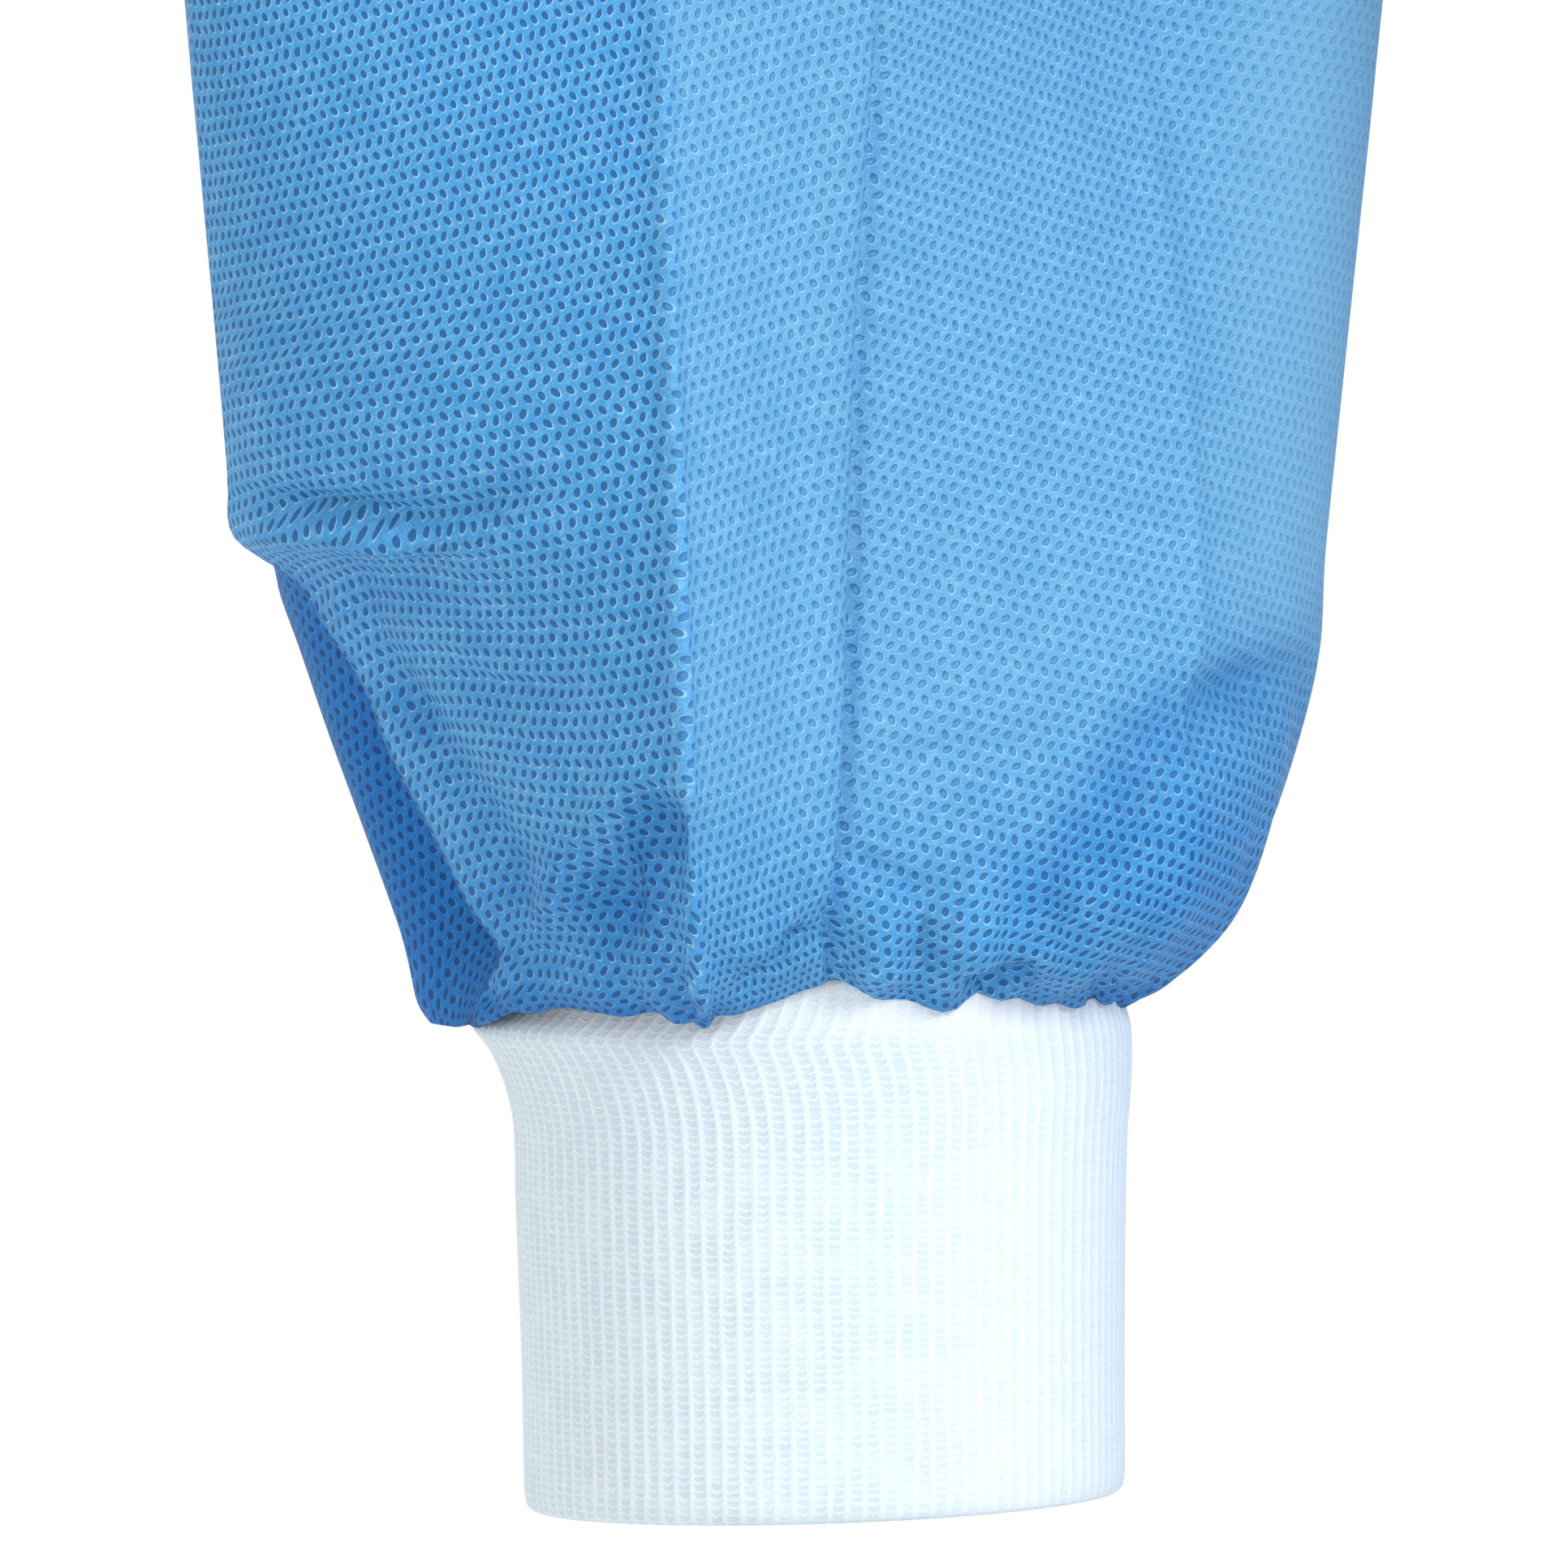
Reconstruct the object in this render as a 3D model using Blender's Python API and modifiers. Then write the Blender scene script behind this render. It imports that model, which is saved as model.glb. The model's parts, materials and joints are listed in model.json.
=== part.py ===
"""A disposable lab jacket of blue nonwoven, hanging hollow as worn, with knitted cuffs and a knitted collar.

Metres, +Z up, the front facing -Y. The origin lies between the neck points, where the shoulders carry it.
"""

import math

import bmesh
import bpy
import numpy as np
from mathutils import Matrix, Vector

MM = 0.001

# The cloth
WALL = 1.0 * MM
KNIT_WALL = 1.4 * MM
SEAM_GAP = 0.3 * MM
SHOULDER_GAP = 0.8 * MM
PLACKET_GAP = 0.6 * MM
ARMHOLE_GAP = 1.3 * MM

# The body, from the neck points down
HEM_Z = -0.760
UNDERARM_Z = -0.270
NECK_HALF_WIDTH = 0.078
NECK_FRONT_DEPTH = 0.088
NECK_BACK_DEPTH = 0.040
NECKLINE_ROUNDS = 16
SHOULDER_HALF_WIDTH = 0.225
SHOULDER_DROP = 0.055
SHOULDER_ROUNDING_FRONT = 0.120
SHOULDER_ROUNDING_BACK = 0.085
BODY_SQUARENESS = 2.4
ARMHOLE_HOLLOW = 0.13
ARMHOLE_MIDDLE_Z = (UNDERARM_Z - SHOULDER_DROP) / 2
OVERLAP = 0.025
OVERLAP_EDGE = 0.002
OVERLAP_EASE = 0.016
FACING_STEP = 0.004

# Soft folds of the hanging body: how many lie round it, how deep they are at the hem, where they start
DRAPE_WAVES = 9
DRAPE_DEPTH = 0.0055
DRAPE_START_Z = -0.300
DRAPE_WANDER = 0.9
DRAPE_BROAD_WAVES = 5
DRAPE_BROAD_SHARE = 0.4
DRAPE_BROAD_TURN = 0.7

# The sleeves, from the end of the cuff up
SLEEVE_AXIS_X = 0.338
CUFF_END_Z = -0.690
CUFF_RADIUS = 30.75 * MM
CUFF_SHIFT = -4.0 * MM
CUFF_HEIGHT = 50.4 * MM
CUFF_LIP_LIFT = 0.3 * MM
CUFF_LIP_WALL = 0.84 * MM
GATHERS = 34
GATHER_DEPTH = 1.7 * MM
GATHER_REACH = 24.0 * MM
GATHER_HANG = 1.2 * MM
GATHER_HANG_REACH = 4.0 * MM

# How the gathers wander round the edge: how far in radians, waves round, turns. Then how uneven they stand
GATHER_WANDERS = ((0.9, 3, 1), (0.6, 5, 2))
GATHER_UNEVEN = (0.25, 7, 3)

# The collar and the snaps
COLLAR_HEIGHT = 0.030
COLLAR_LEAN = 0.004
COLLAR_INSET = 1.6 * MM
COLLAR_LIFT = 1.2 * MM
COLLAR_END_GAP = 3.0 * MM
COLLAR_ROWS = (0.0, 0.5, 1.0)
SNAP_COUNT = 5
SNAP_TOP_Z = -0.130
SNAP_BOTTOM_Z = -0.610
SNAP_RADIUS = 6.0 * MM
SNAP_CAP_HEIGHT = 2.0 * MM
SNAP_STUD_RADIUS = 5.2 * MM
SNAP_STUD_HEIGHT = 1.5 * MM
SNAP_SEAT = 0.5 * MM
SNAP_CAP_TAPER = 0.82
SNAP_STUD_TAPER = 0.9
SNAP_EDGE_SHARE = 0.35
SNAP_SIDES = 12

# How finely the pieces are divided
BODY_ROWS = 9
YOKE_ROWS = 9
YOKE_CROWDING = 1.3
NECK_COLUMNS = 6
SHOULDER_COLUMNS = 6
FINE_STEPS = 5
CUFF_SIDES = 40

BLUE = (0.17, 0.47, 0.82, 1.0)
WHITE = (0.88, 0.93, 0.96, 1.0)
SNAP_WHITE = (0.90, 0.92, 0.93, 1.0)


class Sections:
    """Rows of sizes with named columns, read between the rows along a smooth curve."""

    def __init__(self, columns, rows):
        self.keys = [row[0] for row in rows]
        self.columns = {name: [row[i] for row in rows] for i, name in enumerate(columns)}

    def read(self, name, key):
        keys, values = self.keys, self.columns[name]
        key = min(max(key, keys[0]), keys[-1])
        i = min(max(int(np.searchsorted(keys, key)) - 1, 0), len(keys) - 2)
        width = keys[i + 1] - keys[i]
        t = (key - keys[i]) / width

        def slope(k):
            before, after = max(k - 1, 0), min(k + 1, len(keys) - 1)
            return (values[after] - values[before]) / (keys[after] - keys[before])

        start, end = values[i], values[i + 1]
        return hermite(start, end, slope(i) * width, slope(i + 1) * width, t)


def hermite(start, end, leave, arrive, t):
    """A cubic from start to end that leaves and arrives along the given tangents."""
    t2, t3 = t * t, t * t * t
    return (
        (2 * t3 - 3 * t2 + 1) * start
        + (t3 - 2 * t2 + t) * leave
        + (3 * t2 - 2 * t3) * end
        + (t3 - t2) * arrive
    )


def ease(t):
    """0 below 0, 1 above 1, and a smooth step between."""
    t = min(max(t, 0.0), 1.0)
    return t * t * (3 - 2 * t)


# Half the body's width and how far its front and back stand from the side seams
BODY = Sections(
    ("z", "half_width", "front", "back"),
    (
        (HEM_Z, 0.238, 0.138, 0.134),
        (-0.600, 0.236, 0.134, 0.131),
        (-0.430, 0.232, 0.130, 0.120),
        (UNDERARM_Z, 0.235, 0.138, 0.124),
        (-0.160, 0.235, 0.122, 0.122),
        (-0.085, 0.235, 0.094, 0.104),
        (0.0, 0.235, 0.070, 0.072),
    ),
)

# The sleeve's upper rings: the point under the arm, the point over it, and half the depth from front to back
ARM = Sections(
    ("ring", "under_x", "under_z", "over_x", "over_z", "depth"),
    (
        (1, 0.2395, -0.276, 0.258, -0.070, 0.077),
        (2, 0.2425, -0.287, 0.293, -0.098, 0.080),
        (3, 0.2460, -0.304, 0.328, -0.145, 0.081),
        (4, 0.2500, -0.330, 0.356, -0.208, 0.080),
        (5, 0.2545, -0.368, 0.376, -0.285, 0.077),
        (6, 0.2610, -0.422, 0.391, -0.370, 0.072),
        (7, 0.2690, -0.477, 0.3985, -0.448, 0.067),
    ),
)
ARM_RINGS = (1, 2, 3, 4, 5, 6, 7)

# The lines that run down the sleeve's lower end, in millimetres. Heights are from the cuff's end.
# Out is away from the body and front is towards the front, both from the sleeve's own axis.
# A sharp line is a crease.
LINE_COLUMNS = ("height", "out", "front", "sharp")


def line(*rows):
    return Sections(LINE_COLUMNS, rows)


SLEEVE_LINES = {
    "ridge": line(
        (50.4, 8.0, 31.5, 0.2), (54, 8.3, 38.0, 0.7), (62, 8.9, 45.0, 0.8), (76, 9.7, 50.5, 0.8),
        (96, 10.3, 52.0, 0.8), (116, 11.3, 51.5, 0.7), (145, 12.1, 50.0, 0.6), (160, 12.6, 49.5, 0.5),
    ),
    "pleat_edge": line(
        (50.4, 27.6, 10.4, 0.0), (54, 27.6, 18.5, 0.6), (58, 28.7, 22.0, 0.8), (66, 33.9, 21.5, 0.8),
        (76, 39.4, 18.5, 0.8), (86, 45.0, 15.0, 0.7), (96, 54.4, 15.5, 0.3), (116, 56.6, 25.0, 0.2),
        (145, 59.3, 39.0, 0.3), (160, 60.2, 40.0, 0.3),
    ),
    "recess": line(
        (50.4, 29.0, 3.6, 0.0), (54, 26.6, 6.0, 0.3), (58, 23.5, 5.5, 0.4), (66, 26.0, 3.5, 0.4),
        (76, 32.0, 3.0, 0.4), (86, 41.0, 4.0, 0.3), (96, 55.2, 9.5, 0.0), (116, 57.0, 17.0, 0.0),
        (145, 60.0, 32.0, 0.0), (160, 60.8, 34.0, 0.0),
    ),
    "outer": line(
        (50.4, 29.0, -4.6, 0.0), (52, 36.2, -6.0, 0.1), (54, 37.2, -7.0, 0.2), (58, 38.6, -8.5, 0.2),
        (66, 41.6, -9.0, 0.2), (76, 45.4, -8.5, 0.2), (86, 48.9, -7.0, 0.1), (96, 54.0, 0.0, 0.0),
        (116, 56.6, 6.0, 0.0), (145, 59.9, 18.0, 0.0), (160, 60.8, 22.0, 0.0),
    ),
    "back_outer": line(
        (50.4, 17.5, -23.0, 0.0), (54, 26.0, -30.5, 0.0), (66, 32.5, -37.0, 0.0), (96, 39.0, -39.0, 0.0),
        (145, 45.0, -39.0, 0.0), (160, 46.0, -39.0, 0.0),
    ),
    "back": line(
        (50.4, -4.0, -31.7, 0.0), (54, -4.5, -40.0, 0.1), (66, -5.0, -49.5, 0.3), (96, -4.0, -54.5, 0.4),
        (145, -1.0, -60.0, 0.5), (160, 0.0, -60.5, 0.5),
    ),
    "back_inner": line(
        (50.4, -26.0, -22.5, 0.0), (54, -31.0, -27.5, 0.0), (66, -39.0, -34.5, 0.0), (96, -41.0, -38.0, 0.0),
        (145, -43.5, -45.5, 0.0), (160, -44.0, -46.0, 0.0),
    ),
    "inner": line(
        (50.4, -35.6, -1.5, 0.0), (52.5, -39.0, -1.0, 0.0), (55, -43.0, -1.0, 0.0), (59, -47.0, -1.0, 0.0),
        (66, -50.6, -1.0, 0.0), (76, -53.0, -1.0, 0.0), (86, -54.4, -1.0, 0.1), (96, -54.6, 0.0, 0.1),
        (116, -56.7, -4.0, 0.1), (145, -60.2, -12.0, 0.1), (160, -61.2, -14.0, 0.1),
    ),
    "second_crease": line(
        (50.4, -29.5, 18.5, 0.0), (54, -33.0, 25.0, 0.0), (62, -39.0, 28.0, 0.1), (76, -42.0, 26.0, 0.3),
        (96, -41.2, 21.4, 0.5), (116, -39.9, 17.5, 0.5), (145, -35.8, 15.0, 0.5), (160, -34.5, 14.0, 0.4),
    ),
    "seam": line(
        (50.4, -5.0, 31.6, 0.2), (54, -4.9, 35.0, 0.6), (62, -5.0, 36.5, 0.8), (76, -5.7, 36.0, 0.8),
        (96, -6.5, 35.0, 0.8), (116, -7.1, 37.5, 0.7), (145, -9.2, 39.5, 0.7), (160, -10.2, 39.5, 0.6),
    ),
}

# Each line's place round the arm, in degrees from the outer side to the front, and the steps to the next
LINE_PLACES = {
    "ridge": (80, 6), "pleat_edge": (12, 2), "recess": (2, 2), "outer": (-8, 5),
    "back_outer": (-50, 5), "back": (-95, 5), "back_inner": (-140, 5), "inner": (-180, 4),
    "second_crease": (-225, 4), "seam": (-261, 2),
}
LOWER_HEIGHTS = (145, 130, 116, 105, 96, 86, 76)
GATHER_HEIGHTS = (66, 59, 53.5, 50.4)

# How the two sleeves differ: how deep the pleat is and where the gathers start round the edge
SLEEVES = {
    "sleeve_right": {"side": -1, "pleat": 1.0, "turn": 0.0},
    "sleeve_left": {"side": 1, "pleat": 0.35, "turn": 1.9},
}


def shoulder_top(x):
    """The height of the shoulder line above x."""
    past_neck = max(abs(x) - NECK_HALF_WIDTH, 0.0)
    return -SHOULDER_DROP * past_neck / (SHOULDER_HALF_WIDTH - NECK_HALF_WIDTH)


def drape(angle, z):
    """How far the hanging cloth stands out at an angle round the body. It is still at the side seams."""
    depth = DRAPE_DEPTH * ease((DRAPE_START_Z - z) / (DRAPE_START_Z - HEM_Z))
    wave = math.cos(DRAPE_WAVES * angle + DRAPE_WANDER * math.sin(2 * angle))
    wave += DRAPE_BROAD_SHARE * math.sin(DRAPE_BROAD_WAVES * angle + DRAPE_BROAD_TURN)
    return depth * wave * math.cos(angle) ** 2


def depth_share(x, z):
    """From 1 at the middle to 0 at the side: how much of the body's depth there is at x."""
    reach = min(abs(x) / BODY.read("half_width", z), 1.0)
    return reach, (1 - reach**BODY_SQUARENESS) ** (1 / BODY_SQUARENESS)


def body_point(x, z, front):
    """The outer face of the body at x and z."""
    half_width = BODY.read("half_width", z)
    reach, share = depth_share(x, z)
    rounding = SHOULDER_ROUNDING_FRONT if front else SHOULDER_ROUNDING_BACK
    below = min(max(shoulder_top(x) - z, 0.0) / rounding, 1.0)
    rounded = math.sqrt(1 - (1 - below) ** 2)
    depth = BODY.read("front" if front else "back", z)
    facing = -1 if front else 1
    gap = SHOULDER_GAP if z > ARMHOLE_MIDDLE_Z else SEAM_GAP
    y = facing * max(depth * share * rounded, gap / 2)
    out_x = math.copysign(reach ** (BODY_SQUARENESS - 1) / half_width, x)
    out_y = facing * share ** (BODY_SQUARENESS - 1) / depth
    out = Vector((out_x, out_y, 0)).normalized()
    angle = math.atan2(x / half_width, -y / depth)
    return Vector((x, y, z)) + out * drape(angle, z)


def front_facing(x, z):
    """The way that the front faces at a place."""
    across = body_point(x + FACING_STEP, z, True) - body_point(x - FACING_STEP, z, True)
    up = body_point(x, z + FACING_STEP, True) - body_point(x, z - FACING_STEP, True)
    return across.cross(up).normalized()


def armhole_xz(share):
    """The armhole's edge on the +X side, from the underarm at 0 to the shoulder point at 1."""
    half_height = -SHOULDER_DROP - ARMHOLE_MIDDLE_Z
    z = ARMHOLE_MIDDLE_Z - half_height * math.cos(math.pi * share)
    widest = BODY.read("half_width", UNDERARM_Z)
    straight = widest + (SHOULDER_HALF_WIDTH - widest) * share
    return straight * (1 - ARMHOLE_HOLLOW * math.sin(math.pi * share)), z


def neckline_z(x, front):
    """The neckline's height at x: where the body's surface meets a neck that is oval from above."""
    rounding = SHOULDER_ROUNDING_FRONT if front else SHOULDER_ROUNDING_BACK
    oval = NECK_FRONT_DEPTH if front else NECK_BACK_DEPTH
    depth = oval * math.sqrt(max(1 - (x / NECK_HALF_WIDTH) ** 2, 0.0))
    z = 0.0
    for _ in range(NECKLINE_ROUNDS):
        full = BODY.read("front" if front else "back", z) * depth_share(x, z)[1]
        found = shoulder_top(x) - rounding * (1 - math.sqrt(1 - min(depth / full, 1.0) ** 2))
        z = (z + found) / 2
    return z


def stations(front):
    """Half a panel's columns: each one's share of the way round, and its x at the neck or beyond."""
    if front:
        strips = (0.0, OVERLAP / 2, OVERLAP + OVERLAP_EDGE, OVERLAP + OVERLAP_EDGE + OVERLAP_EASE)
        widest = BODY.read("half_width", UNDERARM_Z)
        shares = [2 / math.pi * math.asin((x / widest) ** (BODY_SQUARENESS / 2)) for x in strips]
        spare = NECK_COLUMNS - len(strips) + 1
        shares += [shares[-1] + (0.5 - shares[-1]) * i / spare for i in range(1, spare + 1)]
        neck = list(strips)
        neck += [strips[-1] + (NECK_HALF_WIDTH - strips[-1]) * math.sin(i / spare * math.pi / 2)
                 for i in range(1, spare + 1)]
    else:
        shares = [i / NECK_COLUMNS / 2 for i in range(NECK_COLUMNS + 1)]
        neck = [NECK_HALF_WIDTH * math.sin(i / NECK_COLUMNS * math.pi / 2) for i in range(NECK_COLUMNS + 1)]
    for i in range(1, SHOULDER_COLUMNS + 1):
        past = i / SHOULDER_COLUMNS
        shares.append((1 + past) / 2)
        neck.append(NECK_HALF_WIDTH + (SHOULDER_HALF_WIDTH - NECK_HALF_WIDTH) * past)
    return list(zip(shares, neck))


def reach_x(share, z):
    """How far out a share of the way round the body lies, at a height."""
    return BODY.read("half_width", z) * math.sin(share * math.pi / 2) ** (2 / BODY_SQUARENESS)


def top_point(x, front):
    """A place on the neckline, or on the shoulder beyond it."""
    z = neckline_z(x, front) if x < NECK_HALF_WIDTH else shoulder_top(x)
    return np.array((x, z))


def body_xz(station, level, front):
    """A column's x and z at a level: 0 at the hem, 1 at the underarm and 2 at the shoulder."""
    share, top_x = station
    if level <= 1:
        z = HEM_Z + (UNDERARM_Z - HEM_Z) * level
        return np.array((reach_x(share, z), z))
    up = level - 1
    low = np.array((reach_x(share, UNDERARM_Z), UNDERARM_Z))
    low_middle, low_edge = np.array((0.0, UNDERARM_Z)), np.array((reach_x(1, UNDERARM_Z), UNDERARM_Z))
    high_middle, high_edge = top_point(0.0, front), top_point(SHOULDER_HALF_WIDTH, front)
    middle = low_middle * (1 - up) + high_middle * up
    edge = np.array(armhole_xz(up))
    rows = (1 - up) * low + up * top_point(top_x, front)
    columns = (1 - share) * middle + share * edge
    corners = (1 - up) * ((1 - share) * low_middle + share * low_edge)
    corners += up * ((1 - share) * high_middle + share * high_edge)
    return rows + columns - corners


def levels():
    low = [i / BODY_ROWS for i in range(BODY_ROWS)]
    high = [2 - (1 - i / YOKE_ROWS) ** YOKE_CROWDING for i in range(YOKE_ROWS + 1)]
    return low + high


def back_row(level):
    half = [body_xz(station, level, False) for station in stations(False)]
    places = [(-x, z) for x, z in reversed(half[1:])] + [(x, z) for x, z in half]
    return [body_point(x, z, False) for x, z in places]


def front_row(level, side, on_top):
    """A row of one front, which runs past the middle under or over the other front."""
    half = [body_xz(station, level, True) for station in stations(True)]
    places = [(-OVERLAP, half[0][1]), (-OVERLAP / 2, half[0][1])] + [(x, z) for x, z in half]
    row = []
    for x, z in places:
        point = body_point(side * x, z, True)
        if on_top:
            lift = (WALL + PLACKET_GAP) * ease((OVERLAP + OVERLAP_EDGE + OVERLAP_EASE - x) / OVERLAP_EASE)
            point += front_facing(side * x, z) * lift
        row.append(point)
    return row


def mesh_object(name, bm, material):
    mesh = bpy.data.meshes.new(name)
    bm.to_mesh(mesh)
    bm.free()
    mesh.materials.append(material)
    mesh.shade_smooth()
    obj = bpy.data.objects.new(name, mesh)
    JACKET.objects.link(obj)
    return obj


def panel(name, grid, outward, material):
    """A cloth panel: its outer face is a grid of points, and its wall lies behind it."""
    bm = bmesh.new()
    rows = [[bm.verts.new(point) for point in row] for row in grid]
    for low, high in zip(rows, rows[1:]):
        for a, b, c, d in zip(low, low[1:], high[1:], high):
            bm.faces.new((a, b, c, d))
    bm.normal_update()
    middle = bm.faces[:][len(bm.faces) // 3]
    if middle.normal.dot(outward) < 0:
        bmesh.ops.reverse_faces(bm, faces=bm.faces[:])
    obj = mesh_object(name, bm, material)
    wall = obj.modifiers.new("wall", "SOLIDIFY")
    wall.thickness = WALL
    wall.offset = -1.0
    wall.use_even_offset = True
    wall.thickness_clamp = 1.0
    return obj


def bridge(bm, first, second):
    """Faces between two rings. The second has as many points as the first, or a multiple of them."""
    steps = len(second) // len(first)
    count = len(first)
    for i in range(count):
        a, b = first[i], first[(i + 1) % count]
        along = [second[(i * steps + k) % len(second)] for k in range(steps + 1)]
        if steps == 1:
            bm.faces.new((a, b, along[1], along[0]))
            continue
        half = steps // 2
        for k in range(steps):
            bm.faces.new((a if k < half + 1 else b, along[k + 1], along[k]))
        bm.faces.new((a, b, along[half + 1]))


def tube(name, outer, inner, material):
    """A cloth tube from its outer and its inner rings, both listed from one end to the other."""
    bm = bmesh.new()
    outer = [[bm.verts.new(point) for point in ring] for ring in outer]
    inner = [[bm.verts.new(point) for point in ring] for ring in inner]
    for first, second in zip(outer, outer[1:]):
        bridge(bm, first, second)
    for first, second in zip(inner, inner[1:]):
        bridge(bm, first, second)
    bridge(bm, inner[0], outer[0])
    bridge(bm, inner[-1], outer[-1])
    bmesh.ops.recalc_face_normals(bm, faces=bm.faces[:])
    if bm.calc_volume(signed=True) < 0:
        bmesh.ops.reverse_faces(bm, faces=bm.faces[:])
    return mesh_object(name, bm, material)


def place_shares(steps):
    """For each point of a ring: the lines before and after it, the share between, its place in degrees."""
    names = list(LINE_PLACES)
    found = []
    for name, after in zip(names, names[1:] + names[:1]):
        here, count = LINE_PLACES[name]
        there = LINE_PLACES[after][0]
        if there > here:
            there -= 360
        for k in range(count * steps):
            share = k / (count * steps)
            found.append((name, after, share, here + (there - here) * share))
    return found


def corner(name, height, pleat):
    """One line's place on the section at a height in millimetres, and how sharp it is there."""
    rows = SLEEVE_LINES[name]
    place = np.array((rows.read("out", height), rows.read("front", height)))
    if name == "recess":
        edge, outer = corner("pleat_edge", height, pleat)[0], corner("outer", height, pleat)[0]
        place = pleat * place + (1 - pleat) * (edge + outer) / 2
    return place, min(max(rows.read("sharp", height), 0.0), 1.0)


def unit(vector):
    return vector / max(np.linalg.norm(vector), 1e-9)


def section(height, pleat, steps):
    """The sleeve's outline at a height, as (out, front) in metres, seen from above."""
    names = list(SLEEVE_LINES)
    corners = {name: corner(name, height, pleat) for name in names}
    leaves, arrives = {}, {}
    for before, name, after in zip(names[-1:] + names[:-1], names, names[1:] + names[:1]):
        to_here = corners[name][0] - corners[before][0]
        to_next = corners[after][0] - corners[name][0]
        into, onward = unit(to_here), unit(to_next)
        weights = np.linalg.norm(to_here), np.linalg.norm(to_next)
        through = unit(into * weights[1] + onward * weights[0])
        sharp = corners[name][1]
        arrives[name] = unit(through * (1 - sharp) + into * sharp)
        leaves[name] = unit(through * (1 - sharp) + onward * sharp)
    outline = []
    for name, after, share, _ in place_shares(steps):
        start, end = corners[name][0], corners[after][0]
        length = np.linalg.norm(end - start)
        outline.append(hermite(start, end, leaves[name] * length, arrives[after] * length, share) * MM)
    return outline


def arm_ring(number):
    """An upper ring of the sleeve on the +X side, through its points under and over the arm."""
    under = np.array((ARM.read("under_x", number), 0, ARM.read("under_z", number)))
    over = np.array((ARM.read("over_x", number), 0, ARM.read("over_z", number)))
    depth = np.array((0, -ARM.read("depth", number), 0))
    ring = []
    for *_, degrees in place_shares(1):
        angle = math.radians(degrees)
        ring.append((under + over) / 2 + (over - under) / 2 * math.cos(angle) + depth * math.sin(angle))
    return ring


def armhole_ring(out=0.0):
    """The armhole's edge on the +X side, with the sleeve's own divisions, moved off the body by out."""
    ring = []
    for *_, degrees in place_shares(1):
        turned = degrees % 360
        front = turned <= 180
        share = 1 - turned / 180 if front else turned / 180 - 1
        x, z = armhole_xz(share)
        point = body_point(x, z, front)
        ring.append(np.array((point.x + out, point.y, point.z)))
    return ring


def gather(angle, height, turn):
    """From 0 to 1: how far a gather stands out at an angle round the cuff. They are uneven in width."""
    wander = sum(far * math.sin(waves * angle + turns * turn) for far, waves, turns in GATHER_WANDERS)
    wave = (1 + math.cos(GATHERS * angle + wander)) / 2
    share, waves, turns = GATHER_UNEVEN
    uneven = 1 - share + share * math.sin(waves * angle + turns * turn)
    rise = ease(1 - (height * MM - CUFF_HEIGHT) / GATHER_REACH)
    return wave * uneven * rise


def lower_ring(height, pleat, steps=1, turn=None):
    """A ring of the sleeve's lower end on the +X side, gathered where a turn is given."""
    z = CUFF_END_Z + height * MM
    ring = []
    for out, front in section(height, pleat, steps):
        point = np.array((SLEEVE_AXIS_X + out, -front, z))
        if turn is not None:
            away = np.array((out - CUFF_SHIFT, -front, 0))
            angle = math.atan2(front, out - CUFF_SHIFT)
            stand = gather(angle, height, turn)
            hang = stand * GATHER_HANG * ease(1 - (height * MM - CUFF_HEIGHT) / GATHER_HANG_REACH)
            point = point + unit(away) * stand * GATHER_DEPTH - np.array((0, 0, hang))
        ring.append(point)
    return ring


def inside(ring, before, after, wall):
    """The ring moved into the wall's inner face, square to the cloth."""
    moved = []
    count = len(ring)
    centre = sum(ring) / count
    for i, point in enumerate(ring):
        along = after[i] - before[i]
        around = ring[(i + 1) % count] - ring[i - 1]
        square = unit(np.cross(around, along))
        if np.dot(square, point - centre) < 0:
            square = -square
        moved.append(point - square * wall)
    return moved


def inner_rings(rings, wall):
    found = []
    for i, ring in enumerate(rings):
        before, after = rings[max(i - 1, 0)], rings[min(i + 1, len(rings) - 1)]
        found.append(inside(ring, before, after, wall))
    return found


def to_side(rings, side):
    return [[Vector((side * x, y, z)) for x, y, z in ring] for ring in rings]


def sleeve(name, side, pleat, turn, material):
    upper = [armhole_ring(ARMHOLE_GAP)] + [arm_ring(number) for number in ARM_RINGS]
    lower = [lower_ring(height, pleat) for height in LOWER_HEIGHTS]
    plain = [lower_ring(height, pleat) for height in GATHER_HEIGHTS]
    gathered = [lower_ring(height, pleat, FINE_STEPS, turn) for height in GATHER_HEIGHTS]
    inner = inner_rings(upper + lower + plain, WALL)
    inner[-1] = [point + np.array((0, 0, WALL / 2)) for point in inner[-1]]
    return tube(name, to_side(upper + lower + gathered, side), to_side(inner, side), material)


# The cuff from its open end up: how far its wall stands in from the full radius, and its outer side's flare
CUFF = Sections(
    ("height", "inset", "flare"),
    (
        (0.0, 0.9, 0.0), (0.8, 0.25, 0.0), (2.2, 0.0, 0.0), (30.0, 0.1, 0.0), (40.0, 0.1, 0.5),
        (45.0, 0.2, 1.8), (48.5, 0.5, 1.9), (50.5, 0.8, 1.0), (54.4, 1.3, 0.0),
    ),
)
CUFF_HEIGHTS = (0.0, 0.8, 2.2, 30.0, 41.0, 48.5, 54.4)


def cuff_ring(height, inset):
    ring = []
    radius = CUFF_RADIUS - CUFF.read("inset", height) * MM - inset
    for i in range(CUFF_SIDES):
        angle = 2 * math.pi * i / CUFF_SIDES
        flare = CUFF.read("flare", height) * MM * max(math.cos(angle), 0.0) ** 2
        x = SLEEVE_AXIS_X + CUFF_SHIFT + (radius + flare) * math.cos(angle)
        ring.append(np.array((x, -(radius + flare) * math.sin(angle), CUFF_END_Z + height * MM)))
    return ring


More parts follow.
